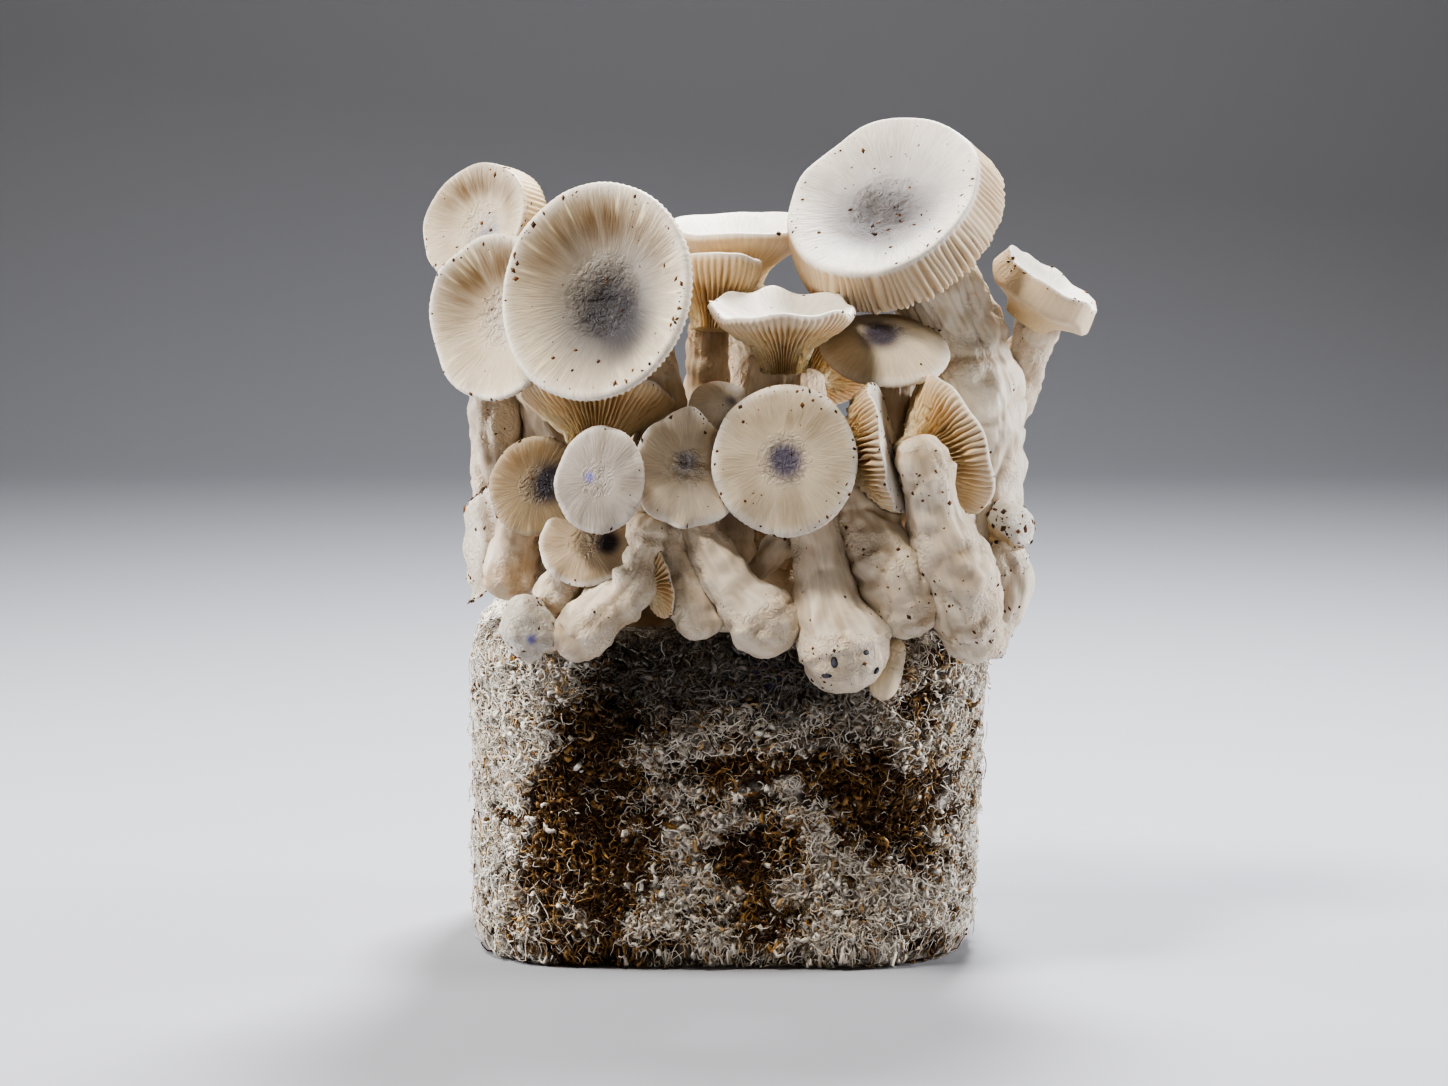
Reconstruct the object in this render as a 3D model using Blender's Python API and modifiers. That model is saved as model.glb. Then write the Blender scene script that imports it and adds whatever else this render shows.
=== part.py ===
"""Oyster mushroom grow bag: a rounded block of colonised substrate with a cluster of oyster mushrooms.

Frame: metres, +Z up, origin at the middle of the block's flat underside. -Y is the fruiting side.
The block, the fused base, every cap and every stem are solids of their own. A piece that grows
against another is cut back by a slightly grown copy of it, so that a thin gap stays between them.
"""

import math

import bmesh
import bpy
from mathutils import Matrix, Vector
from mathutils.bvhtree import BVHTree

# Driving dimensions, in millimetres
MM = 0.001
BLOCK_WIDTH = 190.0
BLOCK_DEPTH = 132.0
BLOCK_HEIGHT = 122.0
BLOCK_CORNER = 40.0
BLOCK_SHOULDER = 17.0
BLOCK_FOOT = 5.0
BLOCK_TAPER = 0.04
BLOCK_LEAN = 3.0
BASE_CENTRE = (0.0, 2.0, 118.0)
BASE_RADII = (80.0, 52.0, 50.0)
GAP = 0.5
STEM_SIDES = 8
RING_SPACING = 14.0
LARGE_CAP = 24.0
HUB_OVERLAP = 0.04

# Cap sections as (radius, height) in cap radii, from the middle of the top down the outside to the hub
CAP_SECTIONS = {
    "funnel": [(0, -0.14), (0.6, -0.04), (1.0, 0.02), (0.98, -0.09), (0.55, -0.22), (0.27, -0.44),
               (0, -0.44)],
    "thick": [(0, -0.1), (0.6, -0.02), (1.0, 0.02), (1.01, -0.17), (0.7, -0.34), (0.37, -0.6), (0, -0.6)],
    "dome": [(0, 0.24), (0.55, 0.17), (1.0, -0.04), (0.97, -0.11), (0.5, -0.16), (0.25, -0.3), (0, -0.3)],
    "plate": [(0, -0.03), (0.6, 0.01), (1.0, 0.0), (0.97, -0.1), (0.55, -0.2), (0.27, -0.36), (0, -0.36)],
    "cup": [(0, -0.3), (0.5, -0.16), (1.0, 0.07), (1.0, -0.03), (0.62, -0.36), (0.3, -0.6), (0, -0.6)],
    "trumpet": [(0, -0.4), (0.5, -0.2), (1.0, 0.07), (1.02, -0.06), (0.78, -0.6), (0.45, -1.2), (0, -1.2)],
    "knob": [(0, 0.6), (0.6, 0.45), (0.95, 0.0), (0.85, -0.4), (0.5, -0.62), (0, -0.68)],
}

# Caps: name, section, centre of the rim, radius, tilt from vertical, azimuth and width ratio.
# Azimuth 0 faces -Y and azimuth 90 faces +X.
CAPS = [
    ("left_pale", "plate", (-45, -87, 182), 19.5, 80, -25, 0.9),
    ("front_centre", "plate", (20, -87, 189), 27.5, 76, -8, 0.95),
    ("upper_left_front", "funnel", (-46, -74, 247), 39.5, 74, -26, 0.96),
    ("left_button", "knob", (-71, -79, 128), 13.0, 80, -10, 0.88),
    ("left_low_brown", "plate", (-50, -74, 158), 17.0, 58, -10, 1.0),
    ("left_bent", "plate", (-24, -74, 144), 13.5, 80, 125, 0.75),
    ("middle_wrinkled", "plate", (-14, -76, 184), 21.0, 72, 0, 0.95),
    ("left_brown", "plate", (-68, -63, 177), 18.5, 75, -15, 1.0),
    ("left_side", "plate", (-90, -40, 153), 20.5, 84, -66, 0.9),
    ("front_edge_on", "plate", (53, -72, 191), 24.5, 76, 66, 0.8),
    ("right_gilled", "cup", (79, -58, 190), 26.0, 72, 118, 0.85),
    ("right_side_knob", "knob", (104, -40, 161), 11.5, 40, 60, 1.0),
    ("middle_small", "dome", (-1, -58, 204), 13.0, 50, 15, 1.0),
    ("top_middle_funnel", "cup", (20, -60, 238), 26.0, 6, 0, 1.0),
    ("right_spotted", "dome", (57, -44, 226), 24.0, 30, 10, 1.0),
    ("left_upturned", "cup", (-46, -46, 206), 28.0, 18, 175, 1.0),
    ("upper_left", "funnel", (-82, -47, 236), 30.5, 78, -33, 1.0),
    ("upper_left_rear", "funnel", (-91, -28, 268), 24.5, 66, -37, 1.0),
    ("top_right_large", "thick", (57, -30, 277), 38.5, 48, -30, 1.0),
    ("top_right_small", "thick", (119, -18, 246), 20.5, 34, 75, 1.0),
    ("top_middle_curled", "trumpet", (-4, -24, 253), 16.0, 12, 170, 1.0),
    ("top_middle_rear", "cup", (4, 8, 262), 29.0, 5, 0, 1.0),
    ("rear_middle", "plate", (30, 46, 212), 26.0, 48, 170, 1.0),
    ("rear_left", "plate", (-42, 46, 196), 24.0, 58, -165, 1.0),
    ("rear_right", "plate", (78, 40, 184), 22.0, 60, 145, 1.0),
    ("rear_low", "plate", (-6, 66, 160), 19.0, 74, 180, 1.0),
]

# Stems: name, whether it starts at the hub of the cap of that name, then centres and radii on the way down
STEMS = [
    ("left_bent", False, [(-31, -73, 167, 8), (-30, -74, 158, 10.5), (-34, -76, 145, 9.5),
                          (-45, -78, 132, 11.5), (-58, -76, 120, 10)]),
    ("middle_wrinkled", True, [(-9, -70, 160, 8), (1, -76, 143, 9), (15, -78, 130, 13),
                               (20, -76, 126, 11)]),
    ("front_centre", True, [(31, -72, 162, 10), (36, -78, 141, 11.5), (42, -79, 120, 17),
                            (43, -77, 111, 13)]),
    ("front_edge_on", True, [(47, -66, 169, 11.5), (56, -72, 150, 14.5), (64, -72, 134, 14),
                             (68, -70, 128, 11)]),
    ("right_club", False, [(72, -81, 196, 7), (72, -81, 190, 11), (71, -78, 174, 10), (80, -75, 150, 15.5),
                           (85, -70, 130, 15.5), (87, -64, 116, 10)]),
    ("left_pale", True, [(-22, -64, 166, 8), (-14, -68, 150, 9), (-11, -72, 132, 10.5),
                         (-11, -71, 125, 8)]),
    ("young", False, [(23, -62, 161, 5), (20, -62, 157, 7), (11, -63, 146, 3.6), (6, -57, 138, 4)]),
    ("small_bulb", False, [(0, -56, 142, 4.5), (-1, -62, 132, 7.5), (-1, -64, 127, 6)]),
    ("pin", False, [(59, -73, 120, 4), (57, -76, 112, 6.5), (57, -76, 107, 5)]),
    ("left_low_brown", True, [(-55, -64, 148, 8), (-61, -69, 142, 8), (-62, -66, 132, 8)]),
    ("left_button", True, [(-66, -64, 124, 8), (-60, -56, 124, 8)]),
    ("left_brown", True, [(-75, -50, 160, 10), (-78, -50, 136, 11)]),
    ("left_side", True, [(-74, -33, 149, 9), (-64, -28, 136, 10)]),
    ("right_side_knob", True, [(102, -38, 146, 9.5), (101, -40, 128, 8), (97, -44, 111, 4)]),
    ("right_gilled", True, [(80, -44, 172, 10), (78, -42, 148, 12), (72, -40, 126, 12)]),
    ("middle_small", True, [(-1, -50, 188, 7), (1, -48, 164, 8), (2, -46, 140, 9)]),
    ("left_upturned", True, [(-46, -44, 184, 10), (-44, -40, 160, 11), (-42, -38, 134, 12)]),
    ("top_middle_funnel", True, [(18, -52, 216, 10), (15, -42, 190, 11), (14, -34, 160, 12),
                                 (12, -30, 134, 13)]),
    ("right_spotted", True, [(60, -40, 206, 10), (60, -34, 184, 11), (54, -30, 160, 12),
                             (46, -26, 134, 13)]),
    ("top_right_large", True, [(74, -16, 241, 16), (89, -16, 222, 17), (95, -20, 194, 17),
                               (90, -20, 164, 17),
                               (78, -18, 136, 17)]),
    ("upper_left_front", True, [(-33, -50, 230, 12), (-26, -40, 207, 12), (-22, -32, 182, 13),
                                (-18, -28, 150, 13)]),
    ("upper_left", True, [(-70, -28, 218, 11), (-64, -22, 194, 12), (-56, -16, 166, 13),
                          (-46, -12, 140, 13)]),
    ("upper_left_rear", True, [(-81, -16, 234, 9), (-84, -22, 203, 10), (-87, -24, 182, 10.5),
                               (-76, -14, 154, 11),
                               (-64, -8, 134, 11)]),
    ("top_right_small", True, [(111, -12, 224, 9.5), (105, -4, 205, 10.5), (94, 4, 178, 11),
                               (74, 8, 146, 12)]),
    ("top_middle_curled", True, [(-6, -16, 220, 8), (-9, -12, 200, 9), (-6, -8, 174, 10),
                                 (-4, -4, 150, 11)]),
    ("top_middle_rear", True, [(8, 10, 230, 11), (8, 12, 205, 11), (6, 10, 176, 12), (4, 8, 150, 13)]),
    ("rear_middle", True, [(30, 28, 190, 11), (28, 20, 168, 12), (24, 14, 146, 13)]),
    ("rear_left", True, [(-36, 28, 178, 10), (-32, 20, 158, 11), (-26, 14, 140, 12)]),
    ("rear_right", True, [(66, 26, 164, 10), (58, 20, 150, 11), (48, 14, 136, 12)]),
    ("rear_low", True, [(-6, 48, 150, 9), (-4, 40, 140, 10), (0, 30, 132, 11)]),
]
HUB_STEM_RADIUS = {
    "funnel": 0.27,
    "thick": 0.36,
    "dome": 0.3,
    "plate": 0.3,
    "cup": 0.3,
    "trumpet": 0.42,
    "knob": 0.55,
}


def clear_scene():
    """Remove whatever the file holds."""
    for old in list(bpy.data.objects):
        bpy.data.objects.remove(old, do_unlink=True)


def make_collection(name):
    """A collection linked to the scene."""
    group = bpy.data.collections.new(name)
    bpy.context.scene.collection.children.link(group)
    return group


def principled(name, colour, roughness):
    """A plain matt material of one colour."""
    material = bpy.data.materials.new(name)
    material.use_nodes = True
    shader = material.node_tree.nodes["Principled BSDF"]
    shader.inputs["Base Color"].default_value = (*colour, 1.0)
    shader.inputs["Roughness"].default_value = roughness
    shader.inputs["Metallic"].default_value = 0.0
    return material


def substrate_material():
    """White mycelium over brown straw and sawdust."""
    return principled("substrate", (0.47, 0.40, 0.31), 0.95)


def cap_material():
    """Ivory cap skin."""
    return principled("cap_flesh", (0.80, 0.73, 0.60), 0.6)


def stem_material():
    """Pale stem flesh."""
    return principled("stem_flesh", (0.78, 0.71, 0.60), 0.65)


def base_material():
    """The fused white tissue that the stems grow from."""
    return principled("base_flesh", (0.74, 0.68, 0.58), 0.7)


def new_object(name, mesh, group):
    """Put a mesh into a collection as an object."""
    thing = bpy.data.objects.new(name, mesh)
    group.objects.link(thing)
    return thing


def baked(thing):
    """The evaluated mesh of an object, in world space, with doubled points welded. The object is removed."""
    bpy.context.view_layer.update()
    graph = bpy.context.evaluated_depsgraph_get()
    mesh = bpy.data.meshes.new_from_object(thing.evaluated_get(graph))
    mesh.transform(thing.matrix_world)
    bpy.data.objects.remove(thing, do_unlink=True)
    shape = bmesh.new()
    shape.from_mesh(mesh)
    bmesh.ops.remove_doubles(shape, verts=shape.verts, dist=0.00001)
    bmesh.ops.recalc_face_normals(shape, faces=shape.faces)
    shape.to_mesh(mesh)
    shape.free()
    return mesh


def placement(centre, tilt, azimuth):
    """A matrix that turns +Z to the tilted direction and moves it to a centre in millimetres."""
    turn = Matrix.Rotation(math.radians(azimuth), 4, "Z") @ Matrix.Rotation(math.radians(tilt), 4, "X")
    return Matrix.Translation(Vector(centre) * MM) @ turn


def cap_mesh(section, centre, radius, tilt, azimuth, ratio, group):
    """A turned cap: the section swept round its axis by a Screw modifier, then leaned over."""
    points = [(reach * radius * MM, 0.0, height * radius * MM) for reach, height in CAP_SECTIONS[section]]
    outline = bpy.data.meshes.new("cap_section")
    outline.from_pydata(points, [(n, n + 1) for n in range(len(points) - 1)], [])
    thing = new_object("cap_turning", outline, group)
    screw = thing.modifiers.new("turn", "SCREW")
    screw.axis = "Z"
    screw.angle = math.tau
    screw.steps = 14 if radius > LARGE_CAP else 10
    screw.render_steps = screw.steps
    screw.use_merge_vertices = True
    screw.merge_threshold = 0.00001
    thing.matrix_world = placement(centre, tilt, azimuth) @ Matrix.Diagonal((ratio, 1.0, 1.0, 1.0))
    return baked(thing)


def hub_point(section, centre, radius, tilt, azimuth):
    """Where a stem meets the underside of its cap, in millimetres."""
    axis = placement((0, 0, 0), tilt, azimuth).to_3x3() @ Vector((0, 0, 1))
    return Vector(centre) + axis * radius * (CAP_SECTIONS[section][-1][1] + HUB_OVERLAP)


def smooth_path(stations):
    """Points about RING_SPACING apart on the smooth curve through (x, y, z, radius) stations."""
    ends = [2 * stations[0] - stations[1]] + stations + [2 * stations[-1] - stations[-2]]
    path = []
    for before, start, stop, after in zip(ends, ends[1:], ends[2:], ends[3:]):
        count = max(1, round((stop - start).xyz.length / RING_SPACING))
        for step in range(count):
            t = step / count
            even = 2 * start + (stop - before) * t
            bend = (2 * before - 5 * start + 4 * stop - after) * t * t
            swing = (3 * start - before - 3 * stop + after) * t * t * t
            path.append((even + bend + swing) / 2)
    path.append(stations[-1])
    return path


def stem_mesh(stations, group):
    """A stem: a bevelled poly curve along the smooth path, its radius read at each point."""
    path = smooth_path(stations)
    curve = bpy.data.curves.new("stem_path", "CURVE")
    curve.dimensions = "3D"
    curve.bevel_depth = MM
    curve.bevel_resolution = (STEM_SIDES - 4) // 2
    curve.use_fill_caps = True
    spline = curve.splines.new("POLY")
    spline.points.add(len(path) - 1)
    for point, station in zip(spline.points, path):
        point.co = (*(station.xyz * MM), 1.0)
        point.radius = station.w
    return baked(new_object("stem_curve", curve, group))


def block_mesh(group):
    """The block: a box with rounded corners, soft shoulders and a slight taper to its flat underside."""
    shape = bmesh.new()
    bmesh.ops.create_cube(shape, size=1.0)
    size = Vector((BLOCK_WIDTH, BLOCK_DEPTH, BLOCK_HEIGHT)) * MM
    bmesh.ops.scale(shape, vec=size, verts=shape.verts)
    bmesh.ops.translate(shape, vec=(0, 0, size.z / 2), verts=shape.verts)
    upright = [edge for edge in shape.edges if abs(edge.verts[0].co.z - edge.verts[1].co.z) > size.z / 2]
    bmesh.ops.bevel(shape, geom=upright, offset=BLOCK_CORNER * MM, segments=5, profile=0.5, affect="EDGES")
    for height, width, steps in ((size.z, BLOCK_SHOULDER, 3), (0.0, BLOCK_FOOT, 1)):
        ring = [edge for edge in shape.edges if all(abs(v.co.z - height) < MM / 10 for v in edge.verts)]
        bmesh.ops.bevel(shape, geom=ring, offset=width * MM, segments=steps, profile=0.5, affect="EDGES")
    for vert in shape.verts:
        narrowing = BLOCK_TAPER * (1.0 - vert.co.z / size.z)
        vert.co.x *= 1.0 - narrowing
        vert.co.x += BLOCK_LEAN * MM * (vert.co.z / size.z - 0.5)
        vert.co.y *= 1.0 - narrowing
    mesh = bpy.data.meshes.new("block")
    shape.to_mesh(mesh)
    shape.free()
    return baked(new_object("block_shape", mesh, group))


def base_mesh(group):
    """The fused base of the cluster: a low dome on the block's top."""
    shape = bmesh.new()
    bmesh.ops.create_uvsphere(shape, u_segments=12, v_segments=6, radius=1.0)
    bmesh.ops.scale(shape, vec=Vector(BASE_RADII) * MM, verts=shape.verts)
    bmesh.ops.translate(shape, vec=Vector(BASE_CENTRE) * MM, verts=shape.verts)
    mesh = bpy.data.meshes.new("base")
    shape.to_mesh(mesh)
    shape.free()
    return baked(new_object("base_shape", mesh, group))


def grown(mesh):
    """A copy of a mesh, grown outwards by GAP."""
    copy = mesh.copy()
    shape = bmesh.new()
    shape.from_mesh(copy)
    shape.normal_update()
    shifts = [vert.normal * GAP * MM for vert in shape.verts]
    for vert, shift in zip(shape.verts, shifts):
        vert.co += shift
    shape.to_mesh(copy)
    shape.free()
    return copy


def touch(mesh, other):
    """True where two meshes cross, or one lies inside the other's box."""
    first = BVHTree.FromPolygons([v.co for v in mesh.vertices], [p.vertices for p in mesh.polygons])
    second = BVHTree.FromPolygons([v.co for v in other.vertices], [p.vertices for p in other.polygons])
    return bool(first.overlap(second))


def largest_piece(mesh):
    """Clean a cut mesh and keep its largest connected piece."""
    shape = bmesh.new()
    shape.from_mesh(mesh)
    bmesh.ops.remove_doubles(shape, verts=shape.verts, dist=0.00005)
    bmesh.ops.dissolve_degenerate(shape, edges=shape.edges, dist=0.00002)
    unseen = set(shape.verts)
    pieces = []
    while unseen:
        reach = [unseen.pop()]
        piece = set(reach)
        while reach:
            vert = reach.pop()
            for edge in vert.link_edges:
                other = edge.other_vert(vert)
                if other in unseen:
                    unseen.discard(other)
                    piece.add(other)
                    reach.append(other)
        pieces.append(piece)
    pieces.sort(key=len)
    for piece in pieces[:-1]:
        bmesh.ops.delete(shape, geom=list(piece), context="VERTS")
    bmesh.ops.triangulate(shape, faces=shape.faces)
    shape.to_mesh(mesh)
    shape.free()
    return mesh


def cut_back(mesh, neighbours, group, cutters):
    """Cut a mesh by each grown neighbour that it crosses."""
    for neighbour in neighbours:
        if not touch(mesh, neighbour):
            continue
        cutter = new_object("cutter", neighbour, cutters)
        cutter.hide_render = True
        cutter.display_type = "WIRE"
        thing = new_object("cutting", mesh, group)
        cut = thing.modifiers.new("cut", "BOOLEAN")
        cut.operation = "DIFFERENCE"
        cut.object = cutter
        mesh = largest_piece(baked(thing))
        bpy.data.objects.remove(cutter, do_unlink=True)
    return mesh


def finished(name, mesh, material, group):
    """The named object of one sub-part."""
    mesh.materials.clear()
    mesh.materials.append(material)
    mesh.shade_smooth()
    mesh.set_sharp_from_angle(angle=math.radians(50))
    return new_object(name, mesh, group)


def build():
    """Block first, then caps, stems and the fused base, each cut back by those before it."""
    clear_scene()
    group = make_collection("oyster_mushroom_grow_bag")
    cutters = make_collection("cutters")
    cap_look = cap_material()
    stem_look = stem_material()

    block = block_mesh(group)
    finished("substrate_block", block, substrate_material(), group)
    neighbours = [grown(block)]

    hubs = {}
    for name, section, centre, radius, tilt, azimuth, ratio in CAPS:
        mesh = cap_mesh(section, centre, radius, tilt, azimuth, ratio, group)
        clearance = grown(mesh)
        finished("cap_" + name, cut_back(mesh, neighbours, group, cutters), cap_look, group)
        neighbours.append(clearance)
        hub = hub_point(section, centre, radius, tilt, azimuth)
        hubs[name] = Vector((*hub, radius * HUB_STEM_RADIUS[section]))

    for name, starts_at_hub, stations in STEMS:
        stations = [Vector(station) for station in stations]
        if starts_at_hub:
            stations.insert(0, hubs[name])
        mesh = stem_mesh(stations, group)
        clearance = grown(mesh)
        finished("stem_" + name, cut_back(mesh, neighbours, group, cutters), stem_look, group)
        neighbours.append(clearance)

    base = cut_back(base_mesh(group), neighbours, group, cutters)
    finished("fused_base", base, base_material(), group)


build()
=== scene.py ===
# %% [markdown]
# # An oyster mushroom grow block
#
# A block of straw and sawdust, bound by white mycelium, with a crowded cluster of oyster mushrooms on
# its top and front edge. The lesson starts with the measured frame and a few surface tools. It goes on
# with the caps and their gills, the stems, their fused base, and the block with its felt of hyphae.
# Every size and place comes from the frame's own solids. Lengths inside this script are millimetres.

# %% Load the frame
import itertools
import math

import bpy
import numpy as np
from numpy.polynomial.polynomial import polyfit, polyval
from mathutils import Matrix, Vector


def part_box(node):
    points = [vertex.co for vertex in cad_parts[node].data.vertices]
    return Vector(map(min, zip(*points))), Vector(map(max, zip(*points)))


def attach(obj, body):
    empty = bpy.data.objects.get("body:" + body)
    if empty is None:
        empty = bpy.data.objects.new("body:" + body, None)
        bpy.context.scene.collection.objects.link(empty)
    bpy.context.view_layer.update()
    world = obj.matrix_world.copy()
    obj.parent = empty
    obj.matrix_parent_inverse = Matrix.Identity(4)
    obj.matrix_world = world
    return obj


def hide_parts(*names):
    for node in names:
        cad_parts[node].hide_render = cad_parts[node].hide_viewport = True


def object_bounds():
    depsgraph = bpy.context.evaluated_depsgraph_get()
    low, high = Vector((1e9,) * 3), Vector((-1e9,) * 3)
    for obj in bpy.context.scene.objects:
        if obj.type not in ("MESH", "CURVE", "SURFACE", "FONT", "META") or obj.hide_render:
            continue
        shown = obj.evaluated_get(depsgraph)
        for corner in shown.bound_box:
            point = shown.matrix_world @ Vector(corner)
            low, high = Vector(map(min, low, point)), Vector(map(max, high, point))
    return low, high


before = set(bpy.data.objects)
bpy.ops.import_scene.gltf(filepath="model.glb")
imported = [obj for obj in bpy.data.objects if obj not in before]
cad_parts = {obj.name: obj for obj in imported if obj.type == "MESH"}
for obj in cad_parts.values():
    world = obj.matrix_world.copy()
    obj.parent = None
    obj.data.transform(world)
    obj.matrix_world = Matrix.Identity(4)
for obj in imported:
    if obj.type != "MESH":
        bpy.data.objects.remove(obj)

MM = 0.001
cad_box = [list(corner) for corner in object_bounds()]
low, high = np.array(cad_box) / MM
print("frame box in mm:", low.round(1), high.round(1))

# %% [markdown]
# ## Camera
#
# The camera comes first, because everything is judged through it. A long lens from about one and a half
# metres keeps the block's sides nearly upright. It looks slightly down, so that the level caps show a
# thin slice of their tops.

# %% Camera
CAMERA_TILT = math.radians(8)
CAMERA_DISTANCE = 1436
CAMERA_LENS = 100
block_low, block_high = np.array(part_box("substrate_block")) / MM
aim = np.array([-1.0, block_low[1] + 1.0, 156.5])
back = np.array([0, -math.cos(CAMERA_TILT), math.sin(CAMERA_TILT)])
lens = bpy.data.cameras.new("camera")
lens.lens = CAMERA_LENS
camera = bpy.data.objects.new("camera", lens)
camera.location = (aim + back * CAMERA_DISTANCE) * MM
camera.rotation_euler = (math.pi / 2 - CAMERA_TILT, 0, 0)
bpy.context.collection.objects.link(camera)
bpy.context.scene.camera = camera
print("camera at", [round(c, 3) for c in camera.location])

# %% [markdown]
# ## Noise
#
# Nothing that grows is smooth or regular. One noise function shapes lumps, wrinkles, streaks and stains.
# It keeps random values on the corners of a cubic lattice and blends them between the corners, so it
# works on whole arrays of points at once and gives the same result each time.

# %% Noise on a lattice
LATTICE_SIDE = 48
SEED_SHIFT = 7.31
LATTICE = np.random.default_rng(11).uniform(-1, 1, (LATTICE_SIDE,) * 3)
ASKEW = np.linalg.qr(np.random.default_rng(12).normal(size=(3, 3)))[0]


def noise(points, size, seed=0):
    """Smooth noise between -1 and 1, with features of about one size.

    The lattice value at each of the eight corners around a point is weighted by 3t^2 - 2t^3 of the
    point's place along each axis. The lattice stands askew, so that its cells never line up with a stem.
    """
    scaled = np.asarray(points) @ ASKEW / size + seed * SEED_SHIFT
    base = np.floor(scaled).astype(int)
    place = scaled - base
    place = place * place * (3 - 2 * place)
    total = 0
    for corner in itertools.product((0, 1), repeat=3):
        weight = np.where(corner, place, 1 - place).prod(-1)
        cell = (base + corner) % LATTICE_SIDE
        total = total + weight * LATTICE[cell[..., 0], cell[..., 1], cell[..., 2]]
    return total


def rough(points, size, seed=0, layers=3):
    """Noise in layers, each half the size and half the strength of the last."""
    return sum(noise(points, size / 2**n, seed + 3 * n) / 2**n for n in range(layers))


def step(start, stop, value):
    """0 before start, 1 after stop, and 3t^2 - 2t^3 between. Start may be above stop, to fall instead."""
    t = np.clip((value - start) / (stop - start), 0, 1)
    return t * t * (3 - 2 * t)


def blend(one, other, share):
    """A colour or value between two, where share is an array."""
    one, other = np.asarray(one, float), np.asarray(other, float)
    if one.shape[-1:] == (3,) or other.shape[-1:] == (3,):
        share = np.asarray(share)[..., None]
    return one * (1 - share) + other * share


def points_of(*parts):
    """Arrays of x, y and z, stretched to one shape and stacked into points."""
    return np.stack(np.broadcast_arrays(*parts), -1)


def bell(distance, width):
    """1 at distance 0, falling as a Gaussian of that width."""
    return np.exp(-((distance / width) ** 2))


def unit(vectors):
    """Vectors shortened or stretched to length 1."""
    return vectors / (np.linalg.norm(vectors, axis=-1, keepdims=True) + 1e-9)


def full_turn(count):
    """Evenly spaced angles once round a circle."""
    return np.linspace(0, math.tau, count, endpoint=False)


def barrel(angle, size, along):
    """Points on a barrel, (size cos angle, size sin angle, along), where a noise has no seam."""
    return points_of(np.cos(angle) * size, np.sin(angle) * size, along)


print("lattice of", LATTICE.size, "values")

# %% [markdown]
# ## From grid to mesh
#
# Caps, stems and the block are all closed skins: rows of points from one pole to the other, and columns
# round the axis. The two end rows shrink to one point each, so that no hole is left. Alongside the
# points each skin carries two attributes: its tint, worked out in the same grid, and its grain, a
# coordinate that runs along the flesh and has no seam, which the materials read for fibres.

# %% A skin from a grid of points
pieces = []


def skin(name, grid, tint, grain, material):
    """A closed mesh from (rows, columns, 3) points, with a tint and a grain for each point.

    Quads join neighbouring rows and columns, and triangles join the end rows to their poles.
    """
    rows, columns = grid.shape[:2]
    inner = np.arange((rows - 2) * columns).reshape(rows - 2, columns) + 1
    after = np.roll(inner, -1, axis=1)
    last = (rows - 2) * columns + 1
    start_fan = np.stack([np.zeros(columns, int), inner[0], after[0]], -1)
    end_fan = np.stack([inner[-1], np.full(columns, last), after[-1]], -1)
    quads = np.stack([inner[:-1], inner[1:], after[1:], after[:-1]], -1).reshape(-1, 4)

    def flat(values):
        """Grid values as one row a vertex, with the mean of each end row at its pole."""
        between = values[1:-1].reshape(-1, values.shape[-1])
        return np.concatenate([values[:1].mean(1), between, values[-1:].mean(1)])

    return mesh_piece(name, flat(grid), [np.concatenate([start_fan, end_fan]), quads],
                      {"tint": flat(tint), "grain": flat(grain)}, material)


def mesh_piece(name, points, face_groups, attributes, material):
    """An object from points in millimetres and arrays of faces, shaded smooth.

    The signed volume, the sum of p0 . (p1 x p2) / 6 over its triangles, tells whether the faces look
    outwards. If it is negative every face is turned over.
    """
    volume = 0
    for faces in face_groups:
        for third in range(2, faces.shape[1]):
            one, two, three = (points[faces[:, k]] for k in (0, third - 1, third))
            volume += (one * np.cross(two, three)).sum() / 6
    if volume < 0:
        face_groups = [faces[:, ::-1] for faces in face_groups]
    mesh = bpy.data.meshes.new(name)
    mesh.vertices.add(len(points))
    mesh.vertices.foreach_set("co", (points * MM).astype(np.float32).ravel())
    corners = np.concatenate([faces.ravel() for faces in face_groups])
    sizes = np.concatenate([np.full(len(faces), faces.shape[1]) for faces in face_groups])
    mesh.loops.add(len(corners))
    mesh.loops.foreach_set("vertex_index", corners.astype(np.int32))
    mesh.polygons.add(len(sizes))
    starts = np.concatenate([[0], np.cumsum(sizes)[:-1]])
    mesh.polygons.foreach_set("loop_start", starts.astype(np.int32))
    mesh.update(calc_edges=True)
    mesh.shade_smooth()
    for key, values in attributes.items():
        kind = "FLOAT_COLOR" if key == "tint" else "FLOAT_VECTOR"
        field = mesh.attributes.new(key, kind, "POINT")
        if key == "tint":
            opaque = np.ones((len(values), 4 - values.shape[1]))
            values = np.concatenate([np.clip(values, 0, 1), opaque], 1)
            field.data.foreach_set("color", values.astype(np.float32).ravel())
        else:
            field.data.foreach_set("vector", values.astype(np.float32).ravel())
    mesh.materials.append(material)
    piece = bpy.data.objects.new(name, mesh)
    bpy.context.collection.objects.link(piece)
    pieces.append(piece)
    return piece


def with_fibres(tint, strength):
    """A tint with a fourth value, which says how strongly the material's fibres show there."""
    strength = np.broadcast_to(strength, tint.shape[:2])
    return np.concatenate([tint, strength[..., None]], -1)


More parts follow.
